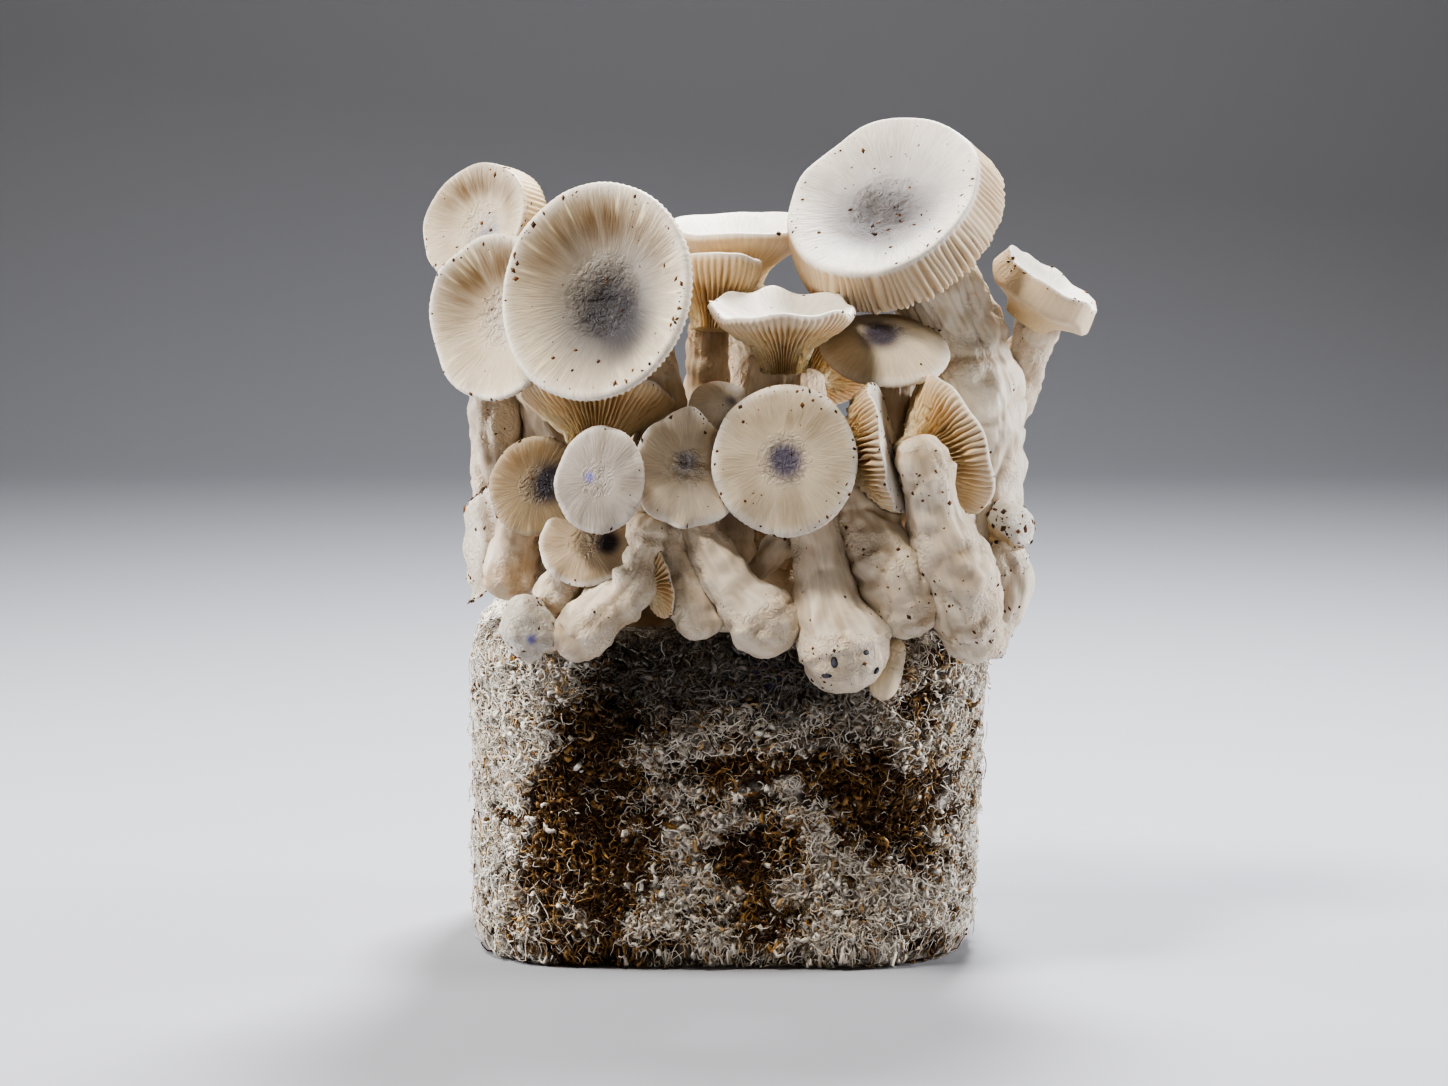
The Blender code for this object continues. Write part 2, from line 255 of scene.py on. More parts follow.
def smooth_curve(knots, places):
    """A Catmull-Rom curve through the knots, read at places counted in knots from 0."""
    knots = np.asarray(knots, float)
    ends = np.concatenate([2 * knots[:1] - knots[1:2], knots, 2 * knots[-1:] - knots[-2:-1]])
    index = np.clip(np.floor(places).astype(int), 0, len(knots) - 2)
    t = (places - index)[:, None]
    before, start, stop, after = (ends[index + n] for n in range(4))
    bend = (2 * before - 5 * start + 4 * stop - after) * t**2
    swing = (3 * start - before - 3 * stop + after) * t**3
    return (2 * start + (stop - before) * t + bend + swing) / 2


print("surface tools ready")

# %% [markdown]
# ## Flesh
#
# Mushroom flesh is pale, matt and slightly see-through, so light goes in and comes out warmer. That is
# what subsurface scattering does. The tint attribute holds the broad colours. The material adds what is
# finer than the mesh: fibres that follow the grain, and a soft mottling.

# %% Material helpers
def feed(material, node, inputs):
    """Inputs of a node, each set to a value or linked from another node's socket."""
    for key, value in inputs.items():
        if isinstance(value, bpy.types.NodeSocket):
            material.node_tree.links.new(value, node.inputs[key])
        else:
            node.inputs[key].default_value = value


def new_material(name, roughness, subsurface=0.0, radius=(3.0, 1.8, 1.0)):
    """A material with one Principled BSDF, its plain values set on the shader's own sockets."""
    material = bpy.data.materials.new(name)
    material.use_nodes = True
    shader = material.node_tree.nodes["Principled BSDF"]
    feed(material, shader, {"Roughness": roughness, "Subsurface Weight": subsurface,
                            "Subsurface Radius": radius, "Subsurface Scale": MM})
    return material, shader


def add(material, kind, inputs=(), **settings):
    """A new node, with its settings and its inputs."""
    node = material.node_tree.nodes.new(kind)
    for key, value in settings.items():
        setattr(node, key, value)
    feed(material, node, dict(inputs))
    return node


def read_attribute(material, name, output):
    """The socket of a mesh attribute."""
    return add(material, "ShaderNodeAttribute", attribute_name=name).outputs[output]


def noise_value(material, vector, scale, detail=4.0, distortion=0.0):
    """The value socket of a noise texture."""
    inputs = {"Vector": vector, "Scale": scale, "Detail": detail, "Distortion": distortion}
    return add(material, "ShaderNodeTexNoise", inputs).outputs["Fac"]


def ranged(material, value, low_value, high_value, low_result, high_result):
    """A value stretched from one range to another, and kept inside it."""
    inputs = {"Value": value, "From Min": low_value, "From Max": high_value,
              "To Min": low_result, "To Max": high_result}
    return add(material, "ShaderNodeMapRange", inputs).outputs["Result"]


def mixed(material, kind, factor, one, other):
    """Two colours combined: MIX, MULTIPLY and so on."""
    inputs = {0: factor, 6: one, 7: other}
    return add(material, "ShaderNodeMix", inputs, data_type="RGBA", blend_type=kind).outputs[2]


def bump(material, height, distance, strength=1.0, under=None):
    """A bump socket, on top of another one if given."""
    inputs = {"Height": height, "Distance": distance * MM, "Strength": strength}
    if under is not None:
        inputs["Normal"] = under
    return add(material, "ShaderNodeBump", inputs).outputs["Normal"]


def tinted_material(name, roughness, *scatter):
    """A material whose colour is the tint attribute and nothing else."""
    material, shader = new_material(name, roughness, *scatter)
    feed(material, shader, {"Base Color": read_attribute(material, "tint", "Color")})
    return material


def flesh_material(name, roughness, fibre_depth, mottle, wrinkle, radius):
    """Tinted flesh with fibres along the grain, soft mottling and fine pores.

    The tint's fourth value says how strongly the fibres show. Where they do not, the skin is wrinkled.
    """
    material, shader = new_material(name, roughness, 0.22, radius)
    tint = read_attribute(material, "tint", "Color")
    strength = read_attribute(material, "tint", "Alpha")
    grain = read_attribute(material, "grain", "Vector")
    place = add(material, "ShaderNodeTexCoord").outputs["Object"]
    fibres = noise_value(material, grain, 1.0, 5.0, 0.4)
    patches = noise_value(material, place, 90.0, 4.0)
    pores = noise_value(material, place, 1100.0, 2.0)
    streaks = ranged(material, fibres, 0.25, 0.75, 0.84, 1.06)
    streaked = mixed(material, "MULTIPLY", strength, tint, streaks)
    shades = ranged(material, patches, 0.3, 0.7, 1 - mottle, 1.03)
    mottled = mixed(material, "MULTIPLY", 1.0, streaked, shades)
    lined = bump(material, fibres, fibre_depth, strength)
    calm = ranged(material, strength, 0.0, 0.6, wrinkle, 0.0)
    wrinkles = noise_value(material, place, 330.0, 4.0, 2.0)
    creased = bump(material, wrinkles, 1.8, calm, lined)
    pored = bump(material, pores, 0.12, 0.5, creased)
    feed(material, shader, {"Base Color": mottled, "Normal": pored, "Specular IOR Level": 0.35})
    return material


cap_flesh = flesh_material("cap_flesh", 0.5, 0.25, 0.08, 0.9, (2.4, 1.2, 0.6))
stem_flesh = flesh_material("stem_flesh", 0.46, 0.4, 0.12, 1.0, (1.5, 0.8, 0.4))
print("materials:", cap_flesh.name, stem_flesh.name)

# %% [markdown]
# ## Measuring a cap
#
# Each cap's solid is a turned shape, leaned over. Its lean and the way it faces are design choices,
# listed below with its looks. Its centre and its two radii are measured: the points furthest from the
# axis are the rim, their mean is the centre, and a least-squares ellipse gives the radii.

# %% Read a solid and fit a rim
def node_corners(name):
    """The corners of a solid's triangles in millimetres, as (triangle, corner, xyz)."""
    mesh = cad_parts[name].data
    mesh.calc_loop_triangles()
    index = np.zeros(len(mesh.loop_triangles) * 3, int)
    mesh.loop_triangles.foreach_get("vertices", index)
    points = np.zeros(len(mesh.vertices) * 3)
    mesh.vertices.foreach_get("co", points)
    return points.reshape(-1, 3)[index].reshape(-1, 3, 3) / MM


def cap_axes(lean, facing):
    """Right, up and outward directions of a cap that leans from level towards a compass angle."""
    lean, facing = math.radians(lean), math.radians(facing)
    right = np.array([math.cos(facing), math.sin(facing), 0])
    level = np.array([math.sin(facing), -math.cos(facing), 0])
    outward = math.sin(lean) * level + np.array([0, 0, math.cos(lean)])
    return np.array([right, np.cross(outward, right), outward])


def rim_of(name, axes):
    """Centre and two radii of a cap: an ellipse (x/a)^2 + (y/b)^2 = 1 fitted to its outermost points."""
    points = np.unique(node_corners(name).reshape(-1, 3).round(3), axis=0) @ axes.T
    middle = (points.min(0) + points.max(0)) / 2
    reach = np.hypot(*((points - middle)[:, :2] / (np.ptp(points, axis=0)[:2] / 2)).T)
    rim = points[reach > 0.9]
    offset = rim - middle
    weights = np.linalg.lstsq(offset[:, :2] ** 2, np.ones(len(rim)), rcond=None)[0]
    middle[2] = rim[:, 2].max()
    return middle @ axes, 1 / np.sqrt(np.maximum(weights, 1e-6))


centre, radii = rim_of("cap_front_centre", cap_axes(76, -8))
print("front centre cap at", centre.round(1), "radii", radii.round(1))

# %% [markdown]
# ## The caps
#
# A cap could be sculpted, but it is easier to describe: a section is turned round an axis and then
# disturbed. The section runs from the middle of the top over the rim and down the gilled underside to
# the stem. Waves push the rim up and down, a soft pit or boss marks the middle, wrinkles gather round
# it, and on the underside the gills stand out as ridges that run down to the stem. Between two long
# gills a short one starts at the rim and fades out, as on the real thing.

# %% Cap sections
# Each section is a list of (distance from the axis, height) in cap radii. Its sixth knot is the rim.
SECTIONS = {
    "funnel": [(0, -0.24), (0.2, -0.22), (0.5, -0.13), (0.8, -0.01), (0.95, 0.035), (1.0, 0.0),
               (0.985, -0.05), (0.9, -0.1), (0.62, -0.24), (0.4, -0.38), (0.29, -0.54), (0.26, -0.7)],
    "thick": [(0, -0.17), (0.22, -0.15), (0.5, -0.09), (0.75, 0.005), (0.91, 0.055), (0.95, 0.03),
              (0.965, -0.05), (1.02, -0.27), (1.02, -0.42), (0.8, -0.52), (0.52, -0.68), (0.4, -0.92)],
    "dome": [(0, 0.27), (0.22, 0.255), (0.55, 0.18), (0.85, 0.04), (0.97, -0.03), (1.0, -0.08),
             (0.96, -0.11), (0.8, -0.105), (0.5, -0.15), (0.33, -0.23), (0.27, -0.36), (0.25, -0.5)],
    "plate": [(0, 0.03), (0.22, 0.035), (0.55, 0.035), (0.85, 0.005), (0.97, -0.035), (1.0, -0.07),
              (0.975, -0.1), (0.85, -0.12), (0.55, -0.2), (0.37, -0.32), (0.28, -0.46), (0.25, -0.6)],
    "cup": [(0, -0.3), (0.22, -0.27), (0.55, -0.14), (0.85, 0.02), (0.97, 0.07), (1.01, 0.04),
            (1.0, -0.04), (0.86, -0.18), (0.6, -0.36), (0.42, -0.52), (0.32, -0.72), (0.28, -0.9)],
    "trumpet": [(0, -0.4), (0.3, -0.3), (0.6, -0.12), (0.88, 0.03), (0.98, 0.06), (1.04, 0.0),
                (1.03, -0.22), (0.9, -0.55), (0.72, -0.85), (0.54, -1.15), (0.45, -1.4), (0.42, -1.6)],
    "blade": [(0, 0.0), (0.22, 0.005), (0.5, 0.02), (0.8, 0.02), (0.96, 0.0), (1.0, -0.025),
              (0.98, -0.06), (0.93, -0.15), (0.8, -0.29), (0.6, -0.42), (0.4, -0.56), (0.3, -0.75)],
    "knob": [(0, 0.6), (0.3, 0.57), (0.62, 0.43), (0.85, 0.22), (0.95, 0.0), (0.96, -0.15),
             (0.86, -0.4), (0.7, -0.56), (0.6, -0.68), (0.52, -0.8), (0.48, -0.9), (0.45, -1.0)],
}
RIM_KNOT = 5
GILL_SPACING = 2.5
SAMPLES_PER_GILL = 5

IVORY = (0.64, 0.55, 0.42)
WHITE = (0.78, 0.74, 0.68)
# Tan of the caps' flesh and flecks, dark enough to stand also for painted shade in the tan ring
TAN_AND_SHADE = (0.175, 0.10, 0.036)
SLATE = (0.16, 0.14, 0.17)
VIOLET_BLACK = (0.012, 0.008, 0.016)
LILAC = (0.34, 0.33, 0.52)
GREY = (0.36, 0.34, 0.38)
STREAK = (0.88, 0.76, 0.52)
# Gill colours: painted shade in the grooves between the gills, painted light on their edges
GILL_PAINTED_LIT = (0.84, 0.68, 0.45)
GILL_PAINTED_SHADE = (0.42, 0.24, 0.09)

# Looks of a plain cap. Places and lengths are in cap radii, and shares run from 0.
PLAIN = dict(
    pale=IVORY,  # colour of the flesh
    white_rim=0.7,  # how white the rim is
    middle=None,  # colour of the blot in the middle, then its radius and its place
    reach=0.3,
    shift=(0, 0),
    haze=0.0,  # how strong the wide faint blot behind it is
    tan=0.25,  # how strong the tan ring is, then the side where it is strongest
    # The tan ring is partly the caps' own tan and partly painted shade, which is strongest on one side
    shade_side=(0, 1),
    rays=0.15,  # how strong the yellow streaks beside the rim are
    dapple=0.12,  # how strong the tan flecks are
    wave=0.02,  # how far the rim waves up and down
    wrinkle=0.3,  # how deep the wrinkles round the middle are
    lump=0.0,  # how far a cap that has not opened bulges
    gill=1.0,  # how deep the gills are, then how far they sway
    sway=1.0,
)
# Each cap's lean and facing in degrees, its section, and what differs from a plain cap
CAPS = {
    "upper_left_front": (74, -26, "funnel", dict(middle=(0.045, 0.04, 0.045), reach=0.42,
        shift=(0.13, -0.2), tan=1.0, wrinkle=1.2, wave=0.012, haze=0.95, rays=0.7)),
    "upper_left": (78, -33, "funnel", dict(middle=GREY, reach=0.25, shift=(0.3, 0.0), tan=1.0,
        wave=0.03, haze=0.5, rays=0.7)),
    "upper_left_rear": (66, -37, "thick", dict(middle=GREY, reach=0.2, shift=(0.2, -0.2), tan=0.9,
        gill=0.2, haze=0.5, rays=0.4)),
    "top_right_large": (48, -30, "thick", dict(pale=WHITE, middle=(0.21, 0.2, 0.21), reach=0.42,
        shift=(-0.02, -0.1), tan=0.12, wrinkle=1.8, wave=0.025, gill=1.7, haze=0.8, sway=3.0)),
    "top_right_small": (34, 75, "thick", dict(pale=WHITE, tan=0.1, gill=0.0, wave=0.05)),
    "top_middle_rear": (5, 0, "cup", dict(pale=WHITE, tan=0.1, gill=0.15, wave=0.02)),
    "top_middle_curled": (12, 170, "trumpet", dict(tan=0.3, gill=1.3)),
    "top_middle_funnel": (6, 0, "cup", dict(pale=WHITE, tan=0.15, wave=0.07, gill=0.9)),
    "right_spotted": (30, 10, "dome", dict(middle=(0.06, 0.05, 0.07), reach=0.3,
        shift=(-0.1, -0.05), tan=0.5, haze=0.4)),
    "left_upturned": (18, 175, "cup", dict(tan=0.5, gill=1.0, wave=0.06)),
    "left_brown": (75, -15, "plate", dict(pale=(0.35, 0.265, 0.165), middle=VIOLET_BLACK, reach=0.4,
        haze=0.3, shift=(0.25, 0.05), tan=0.9, white_rim=0.1, wrinkle=0.0)),
    "left_pale": (80, -25, "plate", dict(pale=(0.4, 0.355, 0.31), white_rim=0.45, dapple=0.25,
        middle=(0.25, 0.24, 0.5), reach=0.11, shift=(-0.2, 0.05), tan=0.1, wrinkle=0.5, wave=0.03)),
    "left_low_brown": (58, -10, "plate", dict(pale=(0.46, 0.36, 0.25), middle=VIOLET_BLACK,
        reach=0.26, shift=(0.5, 0.0), tan=0.6, wave=0.05, wrinkle=0.1)),
    "left_button": (80, -10, "knob", dict(pale=(0.66, 0.61, 0.54), middle=(0.2, 0.19, 0.45),
        reach=0.19, shift=(0.3, -0.35), tan=0.2, gill=0.0, lump=0.14)),
    "left_bent": (80, 125, "plate", dict(tan=0.5, gill=1.0)),
    "left_side": (84, -66, "plate", dict(pale=(0.7, 0.63, 0.54), tan=1.0, shade_side=(1, 0.2),
        gill=0.6, wave=0.08, lump=0.05)),
    "middle_wrinkled": (72, 0, "plate", dict(pale=(0.68, 0.59, 0.47), middle=(0.32, 0.31, 0.33),
        reach=0.18, shift=(0.0, 0.15), tan=0.1, wrinkle=2.2, wave=0.09, haze=0.3, dapple=0.25)),
    "middle_small": (50, 15, "dome", dict(pale=WHITE, middle=GREY, reach=0.2, shift=(0.2, 0.1),
        tan=0.1)),
    "front_centre": (76, -8, "plate", dict(middle=(0.13, 0.115, 0.16), reach=0.2, haze=0.3,
        shift=(0.04, 0.0), tan=0.35, wave=0.02, dapple=0.4, wrinkle=0.1)),
    "front_edge_on": (76, 80, "blade", dict(pale=WHITE, middle=GREY, reach=0.3, tan=0.2, gill=1.7,
        sway=3.0, wave=0.035)),
    "right_gilled": (72, 118, "cup", dict(pale=WHITE, tan=0.1, gill=1.2, sway=2.0, wave=0.03)),
    "right_side_knob": (40, 60, "knob", dict(pale=WHITE, tan=0.2, gill=0.0, lump=0.14)),
    "rear_middle": (48, 170, "plate", dict(middle=SLATE, reach=0.28, tan=0.4, wave=0.04)),
    "rear_left": (58, -165, "plate", dict(middle=GREY, reach=0.3, tan=0.5, wave=0.03)),
    "rear_right": (60, 145, "plate", dict(middle=SLATE, reach=0.2, tan=0.3, wave=0.04)),
    "rear_low": (74, 180, "plate", dict(middle=LILAC, reach=0.15, tan=0.2, wave=0.04)),
}
print(len(CAPS), "caps in", len(SECTIONS), "sections")


# %% Cap surface and tint
def cap_tint(look, reach, angle, x, y, under, ridge, seed):
    """Colour over a cap, from reach (radius in cap radii), angle, and how far under the cap a point is.

    On top: ivory, warmed to tan in a ring that is the cap's own tan and, strongest on one side, painted
    shade; paled at the rim and streaked along the radius, with the middle colour in a soft blot. Below:
    gill cream, with painted shade between the gills and painted light on their edges.
    """
    round_point = barrel(angle, 9, reach * 2 + seed)
    streak = noise(round_point * 3, 1.0, seed) * 0.5 + noise(round_point, 1.0, seed + 1)
    side = x * look["shade_side"][0] + y * look["shade_side"][1]
    # The ring is tan all round, plus painted shade strongest on one side, where the rim shades the cup
    ring = bell(reach - 0.62, 0.29) * (0.15 + 0.85 * step(-0.3, 0.6, side)) * look["tan"]
    top = blend(look["pale"], TAN_AND_SHADE, np.clip(ring * (0.9 + 0.3 * streak), 0, 1) * 0.92)
    rays = step(0.35, 0.7, noise(barrel(angle, 26, reach * 2.2), 1.0, seed + 6))
    top = blend(top, STREAK, rays * bell(reach - 0.84, 0.12) * look["rays"])
    top = blend(top, WHITE, step(0.84, 1.0, reach + 0.03 * streak) * look["white_rim"])
    dapple = step(0.0, 0.6, noise(points_of(x, y, seed), 0.3, seed + 20) + 0.3 * streak)
    top = blend(top, TAN_AND_SHADE, 0.6 * dapple * look["dapple"] * step(1.0, 0.8, reach))
    top = top * (1 + 0.04 * streak)[..., None]
    if look["middle"] is not None:
        away = np.hypot(x - look["shift"][0], y - look["shift"][1])
        blotch = noise(points_of(x, y, seed), 0.35, seed) * 0.07
        haze = blend(look["middle"], look["pale"], 0.4) * np.array([0.9, 0.93, 1.0])
        wide = np.hypot(x - look["shift"][0] / 2, y - look["shift"][1] / 2) + blotch
        top = blend(top, haze, step(look["reach"] * 2.1, look["reach"] * 0.9, wide) * look["haze"])
        blot = step(look["reach"] * 1.5, look["reach"] * 0.4, away + blotch)
        top = blend(top, look["middle"], blot * 0.97)
    # Painted shade between the gills and painted light on their ridges
    gill = blend(GILL_PAINTED_SHADE, GILL_PAINTED_LIT, np.clip(0.6 + 0.4 * ridge * min(1, look["gill"]), 0, 1))
    gill = blend(gill, look["pale"], step(0.8, 1.0, reach) * 0.3)
    return blend(top, gill, under)


# A cap that grows behind another is pressed flat by it
PRESSED_BY = dict(
    upper_left_rear="upper_left",
    upper_left="upper_left_front",
    left_upturned="upper_left_front",
    left_brown="left_pale",
    middle_wrinkled="front_centre",
    middle_small="front_centre",
)


def press_back(grid, name):
    """Points of a cap that would come through a cap in front are moved back along that cap's axis.

    A point at distance d in front of the neighbour's back, and within its rim, moves by -d.
    """
    if name not in PRESSED_BY:
        return grid
    neighbour = PRESSED_BY[name]
    lean, facing, section, _ = CAPS[neighbour]
    axes = cap_axes(lean, facing)
    centre, radii = rim_of("cap_" + neighbour, axes)
    local = (grid - centre) @ axes.T
    reach = np.hypot(local[..., 0] / radii[0], local[..., 1] / radii[1])
    knots = np.array(SECTIONS[section][RIM_KNOT:])[::-1]
    back = np.interp(reach, knots[:, 0], knots[:, 1]) * radii.max() + 1.0
    ahead = np.maximum(local[..., 2] - back, 0) * step(1.12, 1.0, reach)
    return grid - ahead[..., None] * axes[2]


def section_places(knots, size, wrinkle):
    """Places along a section, counted in knots, with the rows close together over the rim."""
    fine = 1.1 if wrinkle >= 1 else 0.5  # rows a millimetre on top
    top_rows, under_rows = round(12 + fine * size), round(11 + 0.33 * size)
    return np.concatenate([np.linspace(0, RIM_KNOT - 1, top_rows, endpoint=False),
                           np.linspace(RIM_KNOT - 1, RIM_KNOT + 1.5, 9, endpoint=False),
                           np.linspace(RIM_KNOT + 1.5, len(knots) - 1, under_rows)])


def gill_waves(look, angle, reach, gills, seed):
    """Long gills all the way down, and the same with short ones near the rim, both between -1 and 1.

    With n gills the long ones are 1 - 2 |sin(n a / 2)|^0.8 and the short ones 2 |sin(n a)| - 1, where a
    is the angle and a little sway.
    """
    ring_point = barrel(angle, 1, reach)
    sway = noise(ring_point, 0.35, seed) * 0.05 * (1.1 - reach)
    sway = (sway + noise(ring_point, 0.16, seed + 9) * 0.02) * look["sway"]
    long_gill = 1 - 2 * np.abs(np.sin((angle + sway) * gills / 2)) ** 0.8
    short_gill = np.abs(np.sin((angle + sway) * gills)) * 2 - 1
    near_rim = step(0.62, 0.95, reach)
    return long_gill, long_gill * (1 - 0.4 * near_rim) + short_gill * 0.3 * near_rim


def top_relief(look, angle, reach, size, seed):
    """The height of a puckered middle and of fine fibrils on a cap's top, in cap radii."""
    x, y = reach * np.cos(angle), reach * np.sin(angle)
    swirl = points_of(x + 0.05 * noise(barrel(angle, 1, reach), 0.2, seed), y * 1.6, seed)
    pucker = rough(swirl, 0.3, seed + 3, 3) * 0.035 * bell(reach, 0.32)
    circles = np.sin(reach * size * 2.4 + 5 * noise(swirl, 0.4, seed + 8)) * bell(reach - 0.32, 0.13)
    pucker = look["wrinkle"] * (pucker + circles * step(0.3, -0.3, x) * 0.11 / size)
    fibril_point = barrel(angle, size, reach * size * 0.25)
    fibril = rough(fibril_point, 1.0, seed + 4, 2) * 0.06 / size * step(0.3, 0.6, reach)
    return pucker + fibril


def rim_wave(angle, reach, seed):
    """Four sine waves of random phase round the rim, and noise, before they are scaled."""
    phases = np.random.default_rng(seed).uniform(0, math.tau, 4)
    wave = sum(np.sin(k * angle + phase) / k**0.5 for k, phase in zip((2, 3, 5, 8), phases))
    return wave + 0.8 * noise(barrel(angle, 1, reach), 0.3, seed + 2)


def grow_cap(name, lean, facing, section, changes, seed):
    """A cap as a grid of angle round its axis and place along its section."""
    look = {**PLAIN, **changes}
    axes = cap_axes(lean, facing)
    centre, radii = rim_of("cap_" + name, axes)
    size = radii.max()
    gills = max(24, round(math.tau * size / GILL_SPACING))
    angle = full_turn(gills * SAMPLES_PER_GILL)[None, :]
    knots = SECTIONS[section]
    places = section_places(knots, size, look["wrinkle"])
    line = smooth_curve(knots, places)
    slope = unit(np.gradient(line, axis=0))
    reach = np.abs(line[:, :1])
    under = step(RIM_KNOT, RIM_KNOT + 0.8, places)[:, None]
    flat_x, flat_y = reach * np.cos(angle), reach * np.sin(angle)
    ring_point = barrel(angle, 1, reach)

    long_gill, ridge = gill_waves(look, angle, reach, gills, seed)
    uneven = 1 + 0.8 * noise(ring_point, 0.12, seed + 5)
    deep = 0.6 + 0.4 * step(RIM_KNOT + 0.5, RIM_KNOT + 2.5, places)[:, None]
    depth = 1.15 * look["gill"] * under * deep * uneven / size
    height = top_relief(look, angle, reach, size, seed) * (1 - under) + depth * ridge
    if look["lump"]:
        ball_point = points_of(flat_x, flat_y, line[:, 1:])
        height = height + look["lump"] * rough(ball_point, 0.7, seed + 7, 2)

    wave = rim_wave(angle, reach, seed)
    lift = look["wave"] * wave * reach**3
    edge = 1 + look["wave"] * 0.5 * wave * reach**2 + 0.002 * long_gill * step(0.9, 1.0, reach)
    out = reach * edge + height * -slope[:, 1:]
    hanging = bell(places[:, None] - RIM_KNOT - 2.6, 0.9) * look["gill"] * 0.02
    hang = hanging * (ridge + noise(ring_point, 0.1, seed))
    rise = line[:, 1:] + lift + height * slope[:, :1] - hang
    across = radii[0] * out * np.cos(angle), radii[1] * out * np.sin(angle)
    grid = press_back(centre + points_of(*across, rise * size) @ axes, name)
    all_angles, all_reach, all_under = np.broadcast_arrays(angle, reach, under)
    tint = cap_tint(look, all_reach, all_angles, flat_x, flat_y, all_under, ridge, seed)
    fibrous = 0 if look["lump"] else 1
    tint = with_fibres(tint, step(0.25, 0.6, reach) * (1 - 0.5 * under) * fibrous)
    grain = barrel(angle, size * 1.2, reach * size * 0.2 + seed)
    piece = skin("cap_" + name + "_flesh", grid, tint, grain, cap_flesh)
    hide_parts("cap_" + name)
    return grid, reach


# %% Grow the caps
cap_grids = {}
for seed, (name, (lean, facing, section, changes)) in enumerate(CAPS.items()):
    cap_grids[name] = grow_cap(name, lean, facing, section, changes, seed)
print("caps:", sum(len(piece.data.polygons) for piece in pieces), "faces")

# %% [markdown]
# ## Measuring a stem
#
# A stem's solid is a bent tube, cut back where a neighbour presses on it. Its centre line is found as
# a principal curve: points spread over the surface are sorted along a line, each stretch of the line
# moves to the mean of the points beside it, and a few rounds of this settle on the middle of the tube.
# The mean distance from that line is the radius.

# %% Find a stem's centre line
STATIONS = 7
END_STRETCH = 0.35


def spread_points(name, steps=7):
    """Points spread evenly over each triangle of a solid, with the area that each stands for."""
    corners = node_corners(name)
    shares = [(i, j, steps - i - j) for i in range(steps + 1) for j in range(steps + 1 - i)]
    shares = (np.array(shares) + 1 / 3) / (steps + 1)
    points = np.einsum("sc,tcx->tsx", shares, corners)
    sides = corners[:, 1:] - corners[:, :1]
    area = np.linalg.norm(np.cross(sides[:, 0], sides[:, 1]), axis=1) / 2
    return points.reshape(-1, 3), np.repeat(area / len(shares), len(shares))


def along(line, points):
    """How far along a polyline the nearest spot to each point is, and how far off the line it is."""
    start, way = line[:-1], np.diff(line, axis=0)
    length = np.linalg.norm(way, axis=1)
    offset = points[:, None] - start
    share = np.clip((offset * way).sum(-1) / length**2, 0, 1)
    gap = np.linalg.norm(offset - share[..., None] * way, axis=-1)
    best = gap.argmin(1)
    rows = np.arange(len(points))
    place = np.concatenate([[0], np.cumsum(length)])[best] + share[rows, best] * length[best]
    return place, gap[rows, best]


def length_of(line):
    """The length of a polyline."""
    return np.linalg.norm(np.diff(line, axis=0), axis=1).sum()


def centre_line(name, end_share=0.6, rounds=8):
    """Stations (x, y, z, radius) down the middle of a stem, from its highest end to its foot.

    Each round ends with a least-squares curve through the stations: a cubic, or a straight line for a
    short stem. Last, each end is moved along the line to stop end_share radii short of the solid's tip,
    which leaves room for a rounded end.
    """
    points, area = spread_points(name)
    mean = np.average(points, axis=0, weights=area)
    main = np.linalg.svd((points - mean) * np.sqrt(area)[:, None], full_matrices=False)[2][0]
    reach = (points - mean) @ main
    line = mean + np.linspace(reach.max(), reach.min(), STATIONS)[:, None] * main
    if line[0, 2] < line[-1, 2]:
        line = line[::-1]
    for _ in range(rounds):
        place, gap = along(line, points)
        total = length_of(line)
        share = np.linspace(0, 1, STATIONS)
        pull = bell(place[:, None] - share * total, total / 8) * area[:, None]
        line = (pull.T @ points) / pull.sum(0)[:, None]
        line[0] += (line[0] - line[1]) * END_STRETCH
        line[-1] += (line[-1] - line[-2]) * END_STRETCH
        bends = 3 if total > 5.5 * np.average(gap, weights=area) else 1
        line = polyval(share, polyfit(share, line, bends)).T
    place, gap = along(line, points)
    total = length_of(line)
    inside = area * ((place > 0.02 * total) & (place < 0.98 * total))
    pull = bell(place[:, None] - share * total, total / 9) * inside[:, None]
    radius = (pull.T @ gap) / pull.sum(0)
    for end, inner, further in ((0, 1, 3), (-1, -2, -4)):
        reach = np.linalg.norm(line[end] - line[inner])
        way = unit(line[inner] - line[further] + END_STRETCH * (line[end] - line[inner]))
        line[end] = line[inner] + way * reach
        close = points[np.linalg.norm(points - line[end], axis=1) < radius[end] * 2.2]
        tip = ((close - line[end]) @ way).max() if len(close) else 0
        room = np.linalg.norm(line[end] - line[inner]) * 0.7
        line[end] += way * max(tip - radius[end] * end_share, -room)
    return np.column_stack([line, radius])


print("front centre stem:", centre_line("stem_front_centre").round(1).tolist())

# %% [markdown]
# ## The stems
#
# A stem is a round section carried along its centre line. The section's radius follows the solid and is
# then disturbed: broad lumps where neighbours press, folds across the bends, and long fine fibres.
# Under a gilled cap the gills run on down the stem as ridges that fade out. Feet are rounded, because a
# bulb that hangs over the block's edge is round below.

# %% Stem surface
STEM_PALE = (0.77, 0.68, 0.56)
# Tan of old stem flesh, also used as painted shade in creases, dents and hollows
STEM_TAN_AND_SHADE = (0.40, 0.25, 0.12)
STEM_GREY = (0.42, 0.40, 0.44)

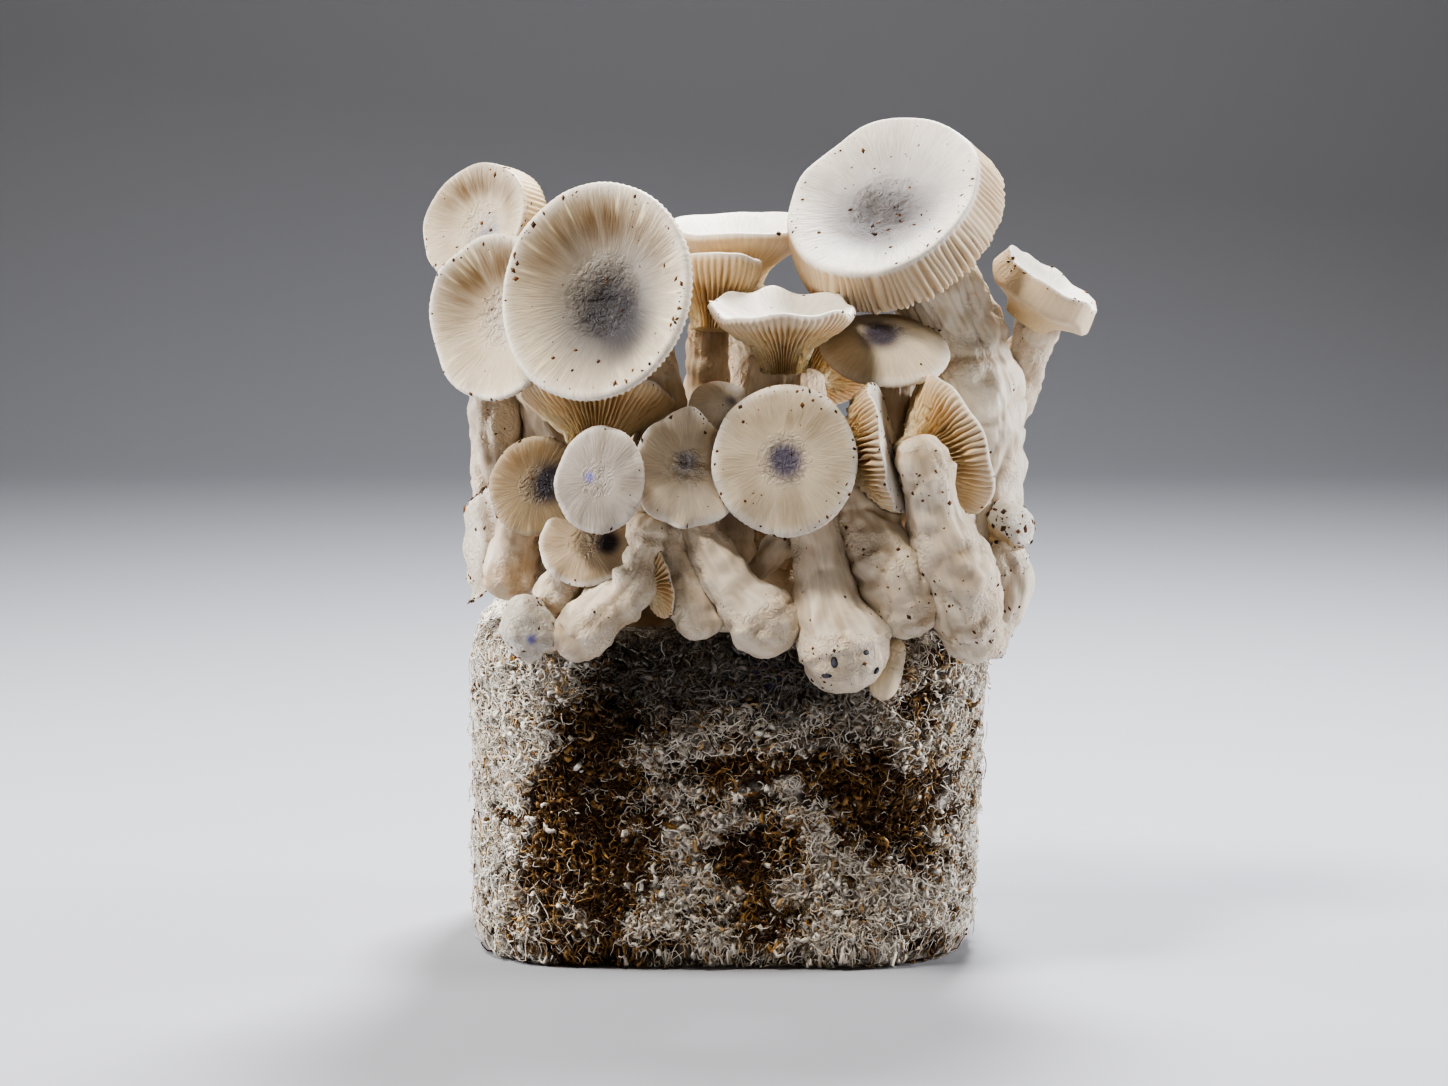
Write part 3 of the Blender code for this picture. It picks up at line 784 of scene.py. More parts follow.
# Looks of a plain stem. Shares run from 0, and places from 0 at the cap to 1 at the foot.
PLAIN_STEM = dict(
    pale=STEM_PALE,  # colour of the flesh
    warm=0.3,  # how much of it is tan, then how much is stained grey
    stain=0.08,
    lump=0.14,  # broad lumps and folds, in radii
    fold=0.07,
    ridge=0.0,  # ridges that run down from the gills, in millimetres
    roll=0.0,  # rings of a stem that was squeezed as it grew, in millimetres
    bulb=1.0,  # how wide the foot is
    end=0.75,  # how long each rounded end is, in radii
    shape=[(0, 1), (1, 1)],  # (place, radius) where the stem narrows or widens
    even=False,  # whether the solid's largest radius is used all the way
)
STEM_ROW_STEP = 1.25
STEM_COLUMN_STEP = 1.05
ROLL_SPACING = 6.0
FOLD_SCALE = 0.07
RIDGE_SPACING = 3.0
STEMS = {
    "top_right_large": dict(lump=0.2, fold=0.1, ridge=1.5, pale=(0.84, 0.77, 0.67), warm=0.12),
    "top_right_small": dict(lump=0.12, warm=0.4),
    "top_middle_funnel": dict(ridge=0.5, warm=0.7),
    "top_middle_curled": dict(ridge=0.7, warm=0.8),
    "top_middle_rear": dict(warm=0.6),
    "right_spotted": dict(warm=0.7, ridge=0.3),
    "upper_left_front": dict(warm=0.7, ridge=0.5),
    "upper_left": dict(warm=0.5),
    "upper_left_rear": dict(warm=0.2, lump=0.13),
    "left_brown": dict(warm=0.9, lump=0.08),
    "left_bent": dict(lump=0.1, fold=0.09, end=0.9, roll=0.75),
    "right_club": dict(lump=0.09, fold=0.08, stain=0.2, end=1.0,
        shape=[(0, 1.06), (0.1, 1.1), (0.25, 0.86), (0.42, 1.0), (1, 1)]),
    "young": dict(end=1.0),
    "small_bulb": dict(end=1.0, fold=0.02),
    "pin": dict(end=1.3, fold=0.001, lump=0.02, pale=(0.8, 0.69, 0.52), even=True,
        shape=[(0, 0.8), (0.6, 1.0), (1, 1.0)]),
    "front_centre": dict(lump=0.12, fold=0.05, stain=0.25, bulb=1.18, end=0.9),
    "middle_wrinkled": dict(bulb=1.15, end=0.9),
    "middle_small": dict(bulb=1.15, end=0.9),
    "front_edge_on": dict(lump=0.12, fold=0.1, roll=0.35),
    "right_side_knob": dict(pale=(0.84, 0.77, 0.67), stain=0.3, lump=0.12),
}


def frames_along(path):
    """Two directions square to a path at each station, turned as little as can be from one to the next."""
    way = unit(np.gradient(path, axis=0))
    side = np.cross(way[0], [0.3, 0.2, 1.0])
    sides = []
    for forward in way:
        side = unit(side - forward * (side @ forward))
        sides.append(side)
    sides = np.array(sides)
    return sides, np.cross(way, sides)


def middle_and_radius(stations, look, rows):
    """A stem's centre line and its radius at each row, closed by a quarter circle of rows at each end."""
    path = smooth_curve(stations, np.linspace(0, len(stations) - 1, rows))
    middle, radius = path[:, :3], path[:, 3:]
    if look["even"]:
        radius = radius * 0 + stations[:, 3].max()
    place = np.linspace(0, 1, rows)[:, None]
    radius = radius * (1 + (look["bulb"] - 1) * bell(place - 0.92, 0.2))
    radius = radius * np.interp(place, *np.array(look["shape"]).T)
    head, foot = middle[0] - middle[1], middle[-1] - middle[-2]
    steps = np.linspace(1, 0, 8, endpoint=False)[:, None]
    round_end = np.sqrt(np.maximum(1 - steps**2, 0))
    head_cap = middle[0] + unit(head) * steps * radius[0] * look["end"]
    foot_cap = middle[-1] + unit(foot) * steps[::-1] * radius[-1] * look["end"]
    middle = np.concatenate([head_cap, middle, foot_cap])
    return middle, np.concatenate([round_end * radius[0], radius, round_end[::-1] * radius[-1]])


def grow_stem(name, seed):
    """A stem as a grid of angle round its centre line and place along it."""
    look = {**PLAIN_STEM, **STEMS.get(name, {})}
    stations = centre_line("stem_" + name, look["end"])
    length = length_of(stations[:, :3])
    size = stations[:, 3].mean()
    rows = int(np.clip(length / STEM_ROW_STEP, 26, 80))
    columns = int(np.clip(math.tau * size / STEM_COLUMN_STEP, 36, 100))
    middle, radius = middle_and_radius(stations, look, rows)
    side, across = frames_along(middle)
    turn = full_turn(columns)[None, :]
    outward = side[:, None] * np.cos(turn)[..., None] + across[:, None] * np.sin(turn)[..., None]
    base = middle[:, None] + outward * radius[:, None]
    share = np.linspace(0, 1, len(middle))[:, None]

    # Lumps, folds, grooves, fibres, ridges and rings, all in millimetres
    lump = rough(base, size * 1.3, seed) * look["lump"] * size
    crease = step(0.2, 0.0, np.abs(noise(base, size * 1.1, seed + 2)))
    bumps = noise(base, 6.0, seed + 9) * 0.9 + noise(base, 3.0, seed + 10) * 0.5
    bumps = bumps + noise(base, 1.7, seed + 12) * 0.2
    groove_point = barrel(turn, size, share * length * 0.4)
    groove = step(0.14, 0.0, np.abs(noise(groove_point, 5.5, seed + 13)))
    coarse = (look["fold"] / FOLD_SCALE) ** 0.5
    fold = (bumps - 0.6 * groove) * coarse - crease * look["fold"] * size
    fibre_point = barrel(turn, size, share * length * 0.1)
    fibre = rough(fibre_point, 1.6, seed + 4, 2) * 0.22
    ridges = round(math.tau * size / RIDGE_SPACING)
    ridge = np.sin(turn * ridges + 2 * noise(fibre_point, size, seed))
    ridge = ridge * look["ridge"] * step(0.5, 0.05, share)
    roll = np.sin(share * length * math.tau / ROLL_SPACING + 4 * noise(base, 9.0, seed + 14))
    fold = fold + roll * look["roll"] * bell(share - 0.35, 0.28)
    ends = np.minimum(1, radius / size)
    swell = (lump + fold + fibre + ridge) * ends
    grid = base + outward * swell[..., None]

    # Tan where the flesh is old, painted shade in dents, creases and grooves, and grey stains
    mottle = rough(grid, 7.0, seed + 6)
    # Dents, where lump and fold push in, get more tan: painted shade
    warm = np.clip(look["warm"] * (0.6 + 0.8 * mottle) - 0.5 * (lump + fold) / size, 0, 1)
    tint = blend(look["pale"], STEM_TAN_AND_SHADE, warm * 0.6)
    # Creases and grooves darkened to tan: painted shade
    tint = blend(tint, STEM_TAN_AND_SHADE, crease * look["fold"] * 3 + groove * coarse * 0.18)
    stained = step(0.55, 0.95, noise(grid, 4.5, seed + 7) + look["stain"] * 0.5) * look["stain"]
    tint = blend(tint, STEM_GREY, stained)
    tint = with_fibres(tint, 0.15 + 0.85 * step(-0.2, 0.5, noise(grid, 12, seed + 11)))
    grain = barrel(turn, size * 0.55, share * length * 0.07 + seed)
    turned = [values[:, ::-1] for values in (grid, tint, grain)]
    piece = skin("stem_" + name + "_flesh", *turned, stem_flesh)
    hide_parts("stem_" + name)
    return grid


# %% Grow the stems
stem_names = sorted(name.removeprefix("stem_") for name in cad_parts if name.startswith("stem_"))
before = len(pieces)
stem_grids = {}
for seed, name in enumerate(stem_names):
    stem_grids[name] = grow_stem(name, seed + 40)
print(len(stem_names), "stems:", sum(len(piece.data.polygons) for piece in pieces[before:]), "faces")

# %% [markdown]
# ## Crumbs of the block on the mushrooms
#
# Handled blocks shed brown crumbs, and these stick to rims, to the middles of caps and to stems. Each
# crumb is a small flattened eight-sided grain set half into the surface it lies on. A grain at the foot
# of the block is flattened at the floor.

# %% Crumbs on a surface
OCTAHEDRON = np.array([(1, 0, 0), (0, 1, 0), (-1, 0, 0), (0, -1, 0), (0, 0, 1), (0, 0, -1)], float)
OCTAHEDRON_FACES = np.array([(0, 1, 4), (1, 2, 4), (2, 3, 4), (3, 0, 4),
                             (1, 0, 5), (2, 1, 5), (3, 2, 5), (0, 3, 5)])
CRUMB_DARK = (0.035, 0.014, 0.006)
CRUMB_BROWN = (0.20, 0.085, 0.02)


def crumb_points(grid, rows, columns, sizes, chance):
    """Eight-sided grains at grid places: long axis along a random way on the surface, flat across it."""
    wrapped = (columns + 1) % grid.shape[1]
    here = grid[rows, columns]
    one = unit(grid[rows, wrapped] - here)
    across = grid[np.minimum(rows + 1, len(grid) - 1), columns] - here
    normal = unit(np.cross(one, across))
    other = np.cross(normal, one)
    turn = chance.uniform(0, math.tau, len(rows))[:, None]
    long = one * np.cos(turn) + other * np.sin(turn)
    wide = np.cross(normal, long)
    shape = sizes[:, None] * chance.uniform([0.7, 0.4, 0.3], [1.5, 1.0, 0.6], (len(rows), 3))
    basis = np.stack([long, wide, normal], 1) * shape[:, :, None]
    return here[:, None] + np.einsum("vk,nkx->nvx", OCTAHEDRON, basis)


def crumbs(name, grid, weight, count, seed, covers, smallest=0.33, largest=1.15):
    """Grains on one surface, at grid places chosen with a chance in proportion to weight times area."""
    chance = np.random.default_rng(seed)
    width = np.linalg.norm(np.roll(grid, -1, 1) - grid, axis=-1)
    share = (weight * width + 1e-12).ravel()
    chosen = chance.choice(share.size, count, p=share / share.sum())
    rows, columns = np.divmod(chosen, grid.shape[1])
    sizes = smallest + (largest - smallest) * chance.uniform(0, 1, count) ** 3
    points = crumb_points(grid, rows, columns, sizes, chance)
    points[..., 2] = np.maximum(points[..., 2], 0)
    tint = blend(CRUMB_DARK, CRUMB_BROWN, chance.uniform(0, 1, count))
    corners = len(OCTAHEDRON)
    faces = (OCTAHEDRON_FACES + np.arange(count)[:, None, None] * corners).reshape(-1, 3)
    tints = {"tint": np.repeat(tint, corners, axis=0)}
    piece = mesh_piece(name, points.reshape(-1, 3), [faces], tints, crumb_finish)
    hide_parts(covers)
    return piece


crumb_finish = tinted_material("crumb", 0.5)
CAP_CRUMBS = dict(
    upper_left_front=90, upper_left=80, upper_left_rear=70, top_right_large=100, top_right_small=60,
    top_middle_funnel=40, front_centre=80, left_button=40, left_side=260, front_edge_on=60,
    right_side_knob=90, middle_wrinkled=30, left_low_brown=30
)
STEM_CRUMBS = dict(
    front_centre=90, right_club=140, left_side=90, right_side_knob=90, top_right_large=60,
    front_edge_on=70, left_bent=30, small_bulb=14, pin=8
)
EVENLY_CRUMBED = {"left_side", "right_side_knob", "left_button", "front_centre", "front_edge_on"}
COARSELY_CRUMBED = {"left_side", "right_side_knob"}
CRUMBED_BELOW = {"left_side"}
for seed, (name, (grid, reach)) in enumerate(cap_grids.items()):
    depth = 1.0 if name in CRUMBED_BELOW else 0.62
    top = np.arange(len(grid))[:, None] < len(grid) * depth
    clumps = 0.25 + 2 * step(0.0, 0.6, noise(grid, 16, seed))
    even = 1.5 if name in EVENLY_CRUMBED else 0.12
    weight = (even + bell(reach - 0.98, 0.07) * 2 * clumps + bell(reach, 0.3) * 0.6) * top
    crumbs("cap_" + name + "_crumbs", grid, weight, CAP_CRUMBS.get(name, 14), seed + 200,
           "cap_" + name, largest=1.7 if name in COARSELY_CRUMBED else 1.15)
for seed, (name, grid) in enumerate(stem_grids.items()):
    clumps = 0.1 + step(0.1, 0.7, noise(grid, 9, seed))
    if name == "front_centre":  # the low end of its bulb is dirty
        clumps = clumps * (1 + 5 * step(114, 104, grid[..., 2]))
    crumbs("stem_" + name + "_crumbs", grid, clumps, STEM_CRUMBS.get(name, 12), seed + 300,
           "stem_" + name)


# %% Ringed spots on the front bulb
SPOT_DARK = (0.035, 0.035, 0.045)
SPOT_GREY = (0.16, 0.16, 0.20)
# Place across and up, and half sizes across and up, in millimetres
SPOT_PLACES = [(37.6, 118.7, 1.5, 2.2), (49.5, 121.5, 1.3, 1.0),
               (52.5, 114.5, 1.2, 1.6), (35.5, 113.2, 1.9, 0.9)]
SPOT_RINGS = [(0, 0.55), (0.4, 0.5), (0.72, 0.36), (1.0, -0.3)]
SPOT_SIDES = 16
BULB_FRONT = -84


def bulb_spots(grid):
    """Low oval domes on the bulb, of rings at a share of the half sizes and a height in millimetres.

    Each stands on the front point of the grid nearest to its place. Its rim is dark and its middle grey.
    """
    for number, (x, z, wide, tall) in enumerate(SPOT_PLACES):
        gap = np.hypot(grid[..., 0] - x, grid[..., 2] - z) + 50 * (grid[..., 1] > BULB_FRONT)
        row, column = np.unravel_index(gap.argmin(), gap.shape)
        columns = (column + np.array([3, -3])) % grid.shape[1]
        along_row = grid[row, columns[0]] - grid[row, columns[1]]
        down = grid[min(row + 2, len(grid) - 1), column] - grid[max(row - 2, 0), column]
        normal = np.cross(along_row, down)
        normal *= -np.sign(normal[1]) / np.linalg.norm(normal)
        across = unit(np.cross([0, 0, 1], normal))
        upright = np.cross(normal, across)
        turn = full_turn(SPOT_SIDES)[None, :, None]
        share, height = np.array(SPOT_RINGS).T[:, :, None, None]
        oval = across * np.cos(turn) * wide + upright * np.sin(turn) * tall
        dome = grid[row, column] + share * oval + normal * height
        under = grid[row, column] - normal * 0.6 + 0 * dome[:1]
        closed = np.concatenate([dome, under])
        tint = blend(SPOT_GREY, SPOT_DARK, step(0.2, 0.75, np.append(share, 1.0)))[:, None]
        tint = with_fibres(np.broadcast_to(tint, closed.shape), 1.0)
        piece = skin(f"bulb_spot_{number}", closed, tint, closed, stem_flesh)
        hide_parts("stem_front_centre")


bulb_spots(stem_grids["front_centre"])
print("crumbs on", len(cap_grids), "caps and", len(stem_grids), "stems")

# %% [markdown]
# ## The fused base
#
# Between the stems the cluster is one mass of pale tissue with small knobs of mushrooms that never
# opened. It is a dome in the box of its solid, swollen by rounded lumps.

# %% Base surface
def grow_base():
    """A dome: an ellipsoid in the solid's box, pushed out by noise lumps, flat at the block's top."""
    base_low, base_high = np.array(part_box("fused_base")) / MM
    middle = (base_low + base_high) / 2
    middle[2] = base_low[2]
    radii = np.array([*(base_high - base_low)[:2] / 2, base_high[2] - base_low[2]])
    polar = np.linspace(0, math.pi / 2, 90)[:, None]
    ball = barrel(full_turn(260)[None, :], np.sin(polar), np.cos(polar))
    surface = middle + ball * radii
    lumps = 5 * np.abs(noise(surface, 15, 3)) + 2 * np.abs(noise(surface, 7, 4))
    lumps = lumps + 0.5 * rough(surface, 2.5, 5)
    surface = surface + ball * (lumps - 3)[..., None]
    surface[..., 2] = np.maximum(surface[..., 2], base_low[2] - 1)
    closed = np.concatenate([surface, surface[-1:].mean(1, keepdims=True) + 0 * surface[-1:]])
    # Tan in the hollows between lumps and pale on them: painted shade
    tint = blend(STEM_TAN_AND_SHADE, STEM_PALE, step(-4, 4, lumps - 3))
    tint = with_fibres(np.concatenate([tint, tint[-1:]]), 0.3)
    piece = skin("fused_base_flesh", closed, tint, closed / 3, stem_flesh)
    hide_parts("fused_base")
    return piece


print("base:", len(grow_base().data.polygons), "faces")

# %% [markdown]
# ## The block
#
# The block is straw and sawdust held together by a felt of mycelium. It was grown in a tight bag, so its
# sides are smooth and white with brown flecks, while its front has dried open into a mat of curled
# fibres, with bare brown patches. The ground comes first: a rounded rectangle carried over a foot, a side
# and a shoulder, a little wider towards the top as its solid is, and pushed in where the felt is bare.

# %% Outline and profile of the block
BLOCK_CORNER = 40
FOOT = 9
SHOULDER = 11
GROUND_STEP = 1.05
BOTTOM_ROWS = 12
TOP_ROWS = 40


def outline(half, corner, step_length):
    """A rounded rectangle in even steps along it: points and outward directions.

    Four quarter circles of the corner radius stand at (half - corner), and straight sides join them.
    """
    turn = np.linspace(0, math.pi / 2, 24)
    arcs = []
    for quarter, signs in enumerate(((1, 1), (-1, 1), (-1, -1), (1, -1))):
        angle = turn + quarter * math.pi / 2
        direction = np.column_stack([np.cos(angle), np.sin(angle)])
        place = np.array(signs) * (half - corner) + direction * corner
        arcs.append(np.column_stack([place, direction]))
    loop = np.concatenate([*arcs, arcs[0][:1]])
    length = np.concatenate([[0], np.cumsum(np.linalg.norm(np.diff(loop[:, :2], axis=0), axis=1))])
    even = np.linspace(0, length[-1], round(length[-1] / step_length), endpoint=False)
    values = np.column_stack([np.interp(even, length, loop[:, k]) for k in range(4)])
    return values[:, :2], values[:, 2:]


def profile(height):
    """Rows from the bottom's centre to the top's: (inset, height, scale towards the centre)."""

    def rows(inset, height, scale):
        """The three values of each row, stretched to one length."""
        return np.column_stack(np.broadcast_arrays(inset, height, scale))

    quarter = np.linspace(0, math.pi / 2, 8)
    foot = rows(FOOT * (1 - np.sin(quarter)), FOOT * (1 - np.cos(quarter)), 1)
    side = rows(0, np.arange(FOOT, height - SHOULDER, GROUND_STEP)[1:], 1)
    quarter = np.linspace(0, math.pi / 2, round(SHOULDER * math.pi / 2 / GROUND_STEP))
    shoulder = rows(SHOULDER * (1 - np.cos(quarter)), height - SHOULDER * (1 - np.sin(quarter)), 1)
    bottom = rows(FOOT, 0, np.linspace(0, 1, BOTTOM_ROWS)[:-1])
    top = rows(SHOULDER, height, np.linspace(1, 0, TOP_ROWS)[1:])
    return np.concatenate([bottom, foot, side, shoulder, top])


def side_box(points, height):
    """Centre and half size of the block's solid at one height, from its corners beside that height."""
    level = points[np.abs(points[:, 2] - height) < 3][:, :2]
    return np.array([(level.min(0) + level.max(0)) / 2, np.ptp(level, axis=0) / 2])


block_points = node_corners("substrate_block").reshape(-1, 3)
BLOCK_HEIGHT = block_high[2] - block_low[2]
SOLID_FOOT, SOLID_SHOULDER = 5, 17
low_box = side_box(block_points, SOLID_FOOT)
high_box = side_box(block_points, BLOCK_HEIGHT - SOLID_SHOULDER)
print("block at its foot", low_box.round(1).tolist(), "and below its shoulder", high_box.round(1).tolist())

# %% [markdown]
# Where the felt is bare the block is brown. The bare patches are ellipses with ragged edges on the
# front, and noise elsewhere, so the back and the sides have their own. The same function colours the
# ground, sinks it, and later tells each thread which colour to be.

# %% Where the felt is bare
# Centre x, z and half sizes in millimetres, and strength
BARE_PATCHES = [
    (-48, 44, 22, 40, 1.1), (-44, 86, 18, 16, 1.0), (9, 42, 21, 14, 1.05), (16, 18, 12, 12, 1.0),
    (54, 63, 26, 17, 1.15), (71, 43, 8, 6, 0.9), (-52, 7, 28, 9, 1.0), (73, 6, 13, 7, 0.9),
    (12, 74, 24, 8, 0.95), (-5, 62, 9, 6, 0.6), (30, 30, 7, 6, 0.5), (70, 99, 16, 7, 0.8),
]
# Where the white margins of the front begin, in millimetres from the middle
MARGIN_LEFT, MARGIN_RIGHT = -68, 76


def front_share(points, outward):
    """1 on the open front, 0 on the smooth sides and back, with a ragged border on the corners."""
    ragged = 0.3 * noise(points, 9, 21) + 0.15 * noise(points, 3.5, 39)
    return step(0.2, 0.55, ragged - outward[..., 1])


def edge_share(points):
    """1 beside the left and right edges of the front, where the felt is thick and white."""
    across = points[..., 0] + 6 * noise(points, 10, 40)
    left = step(MARGIN_LEFT + 6, MARGIN_LEFT - 8, across)
    return left + step(MARGIN_RIGHT - 6, MARGIN_RIGHT + 8, across)


def bareness(points, front):
    """How bare the block is: 1 - (distance in half sizes) of the nearest ellipse, made ragged by noise."""
    nearest = np.full(points.shape[:-1], -2.0)
    for x, z, half_x, half_z, strength in BARE_PATCHES:
        away = np.hypot((points[..., 0] - x) / half_x, (points[..., 2] - z) / half_z)
        nearest = np.maximum(nearest, strength - away)
    ragged = 0.42 * noise(points, 11, 22) + 0.4 * noise(points, 4.5, 23)
    flecked = step(0.35, 0.6, noise(points, 5.5, 33) + 0.5 * noise(points, 3, 34)) * 0.8
    on_front = np.maximum(step(-0.1, 0.3, nearest + ragged), flecked)
    back = step(30.0, 45.0, points[..., 1])
    elsewhere = step(0.3, 0.55, noise(points, 34, 24) + 0.5 * ragged)
    upright = points * np.array([1, 1, 0.5])
    side_fleck = step(0.5, 0.64, noise(upright, 2.6, 35) + 0.25 * noise(points, 20, 36)) * 0.5
    return on_front * front + np.maximum(elsewhere * back, side_fleck) * (1 - front)


def under_bulb_shade(points, front):
    """The painted shadow band under the bulbs, darkest below the middle of the cluster."""
    band = step(84, 100, points[..., 2] + 6 * noise(points, 12, 25))
    return front * band * step(-62, -38, points[..., 0]) * step(62, 34, points[..., 0])


# %% Ground of the block
FELT_PALE = (0.72, 0.67, 0.61)
FELT_DIM = (0.09, 0.065, 0.045)
BARE_DARK = (0.018, 0.008, 0.003)
BARE_GOLD = (0.085, 0.04, 0.013)
# Painted shadow under the bulbs: dark grey, with a breath of violet near its middle
PAINTED_SHADE_GREY = (0.035, 0.028, 0.028)
PAINTED_SHADE_VIOLET = (0.05, 0.045, 0.17)
SIDE_FLECK = (0.17, 0.085, 0.03)
CELL_EDGE = (0.17, 0.08, 0.025, 1)
CELL_HOLE = (0.012, 0.006, 0.004, 1)


def ground_grid():
    """Points and outward directions of the block before its colours, on a grid of profile and outline."""
    half = (low_box[1] + high_box[1]) / 2
    loop, outward = outline(half, BLOCK_CORNER, GROUND_STEP)
    rows = profile(BLOCK_HEIGHT)
    inset, height, scale = (rows[:, k][:, None, None] for k in range(3))
    share = (height - SOLID_FOOT) / (BLOCK_HEIGHT - SOLID_SHOULDER - SOLID_FOOT)
    middle = low_box[0] + (high_box[0] - low_box[0]) * share
    wide = (low_box[1] + (high_box[1] - low_box[1]) * share) / half
    flat = middle + (loop - outward * inset) * scale * wide
    grid = points_of(flat[..., 0], flat[..., 1], height[..., 0] + block_low[2])
    around = np.roll(grid, -1, 1) - np.roll(grid, 1, 1)
    normal = np.cross(around, np.gradient(grid, axis=0))
    normal[[0, -1]] = [[[0, 0, -1.0]], [[0, 0, 1.0]]]
    return grid, unit(normal)


plain_ground, ground_normal = ground_grid()
ground_front = front_share(plain_ground, ground_normal)
ground_edge = edge_share(plain_ground)
ground_bare = bareness(plain_ground, ground_front)
print("ground grid", plain_ground.shape, "bare share of the front",
      round(float((ground_bare * ground_front).sum() / ground_front.sum()), 2))


def raised_ground():
    """The ground with its relief: broad swells, fine lumps where it is felted, and bare hollows."""
    swell = 1.5 * noise(plain_ground, 38, 26) + 0.9 * noise(plain_ground, 15, 27)
    fine = 0.55 * noise(plain_ground, 5, 28) + 0.35 * noise(plain_ground, 2.6, 29)
    relief = swell + fine * (0.3 + 0.7 * ground_front)
    relief = relief - (0.5 + ground_front) * ground_bare - 0.8 * under_bulb_shade(plain_ground, ground_front)
    raised = plain_ground + ground_normal * relief[..., None]
    raised[..., 2] = np.maximum(raised[..., 2], block_low[2])
    return raised


ground = raised_ground()


def ground_tint():
    """Felt from dim to pale, bare ground from dark to gold, and a painted shadow band under the bulbs with
    a breath of violet.
    """
    patchy = step(-0.5, 0.8, rough(plain_ground, 18, 30) + 0.6 * noise(plain_ground, 4, 31))
    dim = (0.9 - 0.75 * patchy) * ground_front * (1 - 0.85 * ground_edge)
    pale = blend(FELT_PALE, FELT_DIM, dim)
    gold = step(0.0, 0.8, rough(plain_ground, 6, 32))
    soil = blend(BARE_DARK, BARE_GOLD, gold * 0.8)
    soil = blend(soil, SIDE_FLECK, 0.8 * (1 - ground_front))
    tint = blend(pale, soil, ground_bare)
    # The band under the bulbs is painted shadow
    violet = bell(plain_ground[..., 0] - 10, 9) * bell(plain_ground[..., 2] - 105, 8)
    return blend(tint, blend(PAINTED_SHADE_GREY, PAINTED_SHADE_VIOLET, violet), under_bulb_shade(plain_ground, ground_front) * 0.9)


def ground_material():
    """Felt over soil: stringy light and dark, round cells with dark middles and golden edges."""
    material, shader = new_material("felted_ground", 0.72, 0.08, (2.0, 1.2, 0.7))
    tint = read_attribute(material, "tint", "Color")
    place = add(material, "ShaderNodeTexCoord").outputs["Object"]
    stretch = {0: place, 1: (1.0, 1.0, 0.55)}
    tall = add(material, "ShaderNodeVectorMath", stretch, operation="MULTIPLY").outputs[0]
    strings = noise_value(material, place, 420.0, 6.0, 2.4)
    cells = add(material, "ShaderNodeTexVoronoi", {"Vector": tall, "Scale": 270.0}).outputs["Distance"]
    where = ranged(material, noise_value(material, place, 70.0, 3.0), 0.45, 0.6, 0.0, 1.0)
    hole, edge = (
        add(material, "ShaderNodeMath", {0: share, 1: where}, operation="MULTIPLY").outputs[0]
        for share in (ranged(material, cells, 0.10, 0.24, 1.0, 0.0),
                      ranged(material, cells, 0.22, 0.36, 0.75, 0.0))
    )
    shades = ranged(material, strings, 0.36, 0.62, 0.5, 1.25)
    colour = mixed(material, "MULTIPLY", 1.0, tint, shades)
    colour = mixed(material, "MIX", edge, colour, CELL_EDGE)
    colour = mixed(material, "MIX", hole, colour, CELL_HOLE)
    lined = bump(material, strings, 0.8)
    sunk = bump(material, hole, -0.8, 1.0, lined)
    feed(material, shader, {"Base Color": colour, "Normal": sunk})
    return material


ground_grain = np.stack([ground_bare, ground_front, ground_bare * 0], -1)
ground_piece = skin("block_ground", ground, ground_tint(), ground_grain, ground_material())
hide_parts("substrate_block")
print("ground:", len(ground_piece.data.polygons), "faces")

# %% [markdown]
# ## Threads of the felt
#
# The felt is the thing the eye believes in: thousands of fine curled threads. They could be particle
# hair, but each is only a short closed tube along an arc, so all of them are worked out at once as
# arrays. An arc is drawn on the map of the ground, in millimetres around and along, and the ground grid
# turns map places into space and gives the direction that is up off the felt.

# %% Map of the ground
GROUND_ROWS, GROUND_COLUMNS = ground.shape[:2]
FIRST_SIDE_ROW = BOTTOM_ROWS - 1
LAST_SHOULDER_ROW = GROUND_ROWS - TOP_ROWS + 14
FLOOR_GAP = 0.1


def on_ground(around, along, lift):
    """Points above the ground for map places in grid steps, blended from the four grid points near."""
    column = np.floor(around).astype(int)
    row = np.clip(np.floor(along).astype(int), 0, GROUND_ROWS - 2)
    u, v = (around - column)[..., None], np.clip(along - row, 0, 1)[..., None]
    here, beside = column % GROUND_COLUMNS, (column + 1) % GROUND_COLUMNS

    def blended(values):
        """Values of a grid at the map places."""
        lower = values[row, here] * (1 - u) + values[row, beside] * u
        upper = values[row + 1, here] * (1 - u) + values[row + 1, beside] * u
        return lower * (1 - v) + upper * v

    outward = blended(ground_normal)
    return blended(ground) + outward * lift[..., None], outward


def pick(count, seed, weight):
    """Random map places, kept with a chance given by a grid of weights, until there are enough."""
    chance = np.random.default_rng(seed)
    tries = count * 6
    around = chance.uniform(0, GROUND_COLUMNS, tries)
    along = chance.uniform(FIRST_SIDE_ROW, LAST_SHOULDER_ROW, tries)
    kept = chance.uniform(0, 1, tries) < weight[along.astype(int), around.astype(int)]
    return around[kept][:count], along[kept][:count]


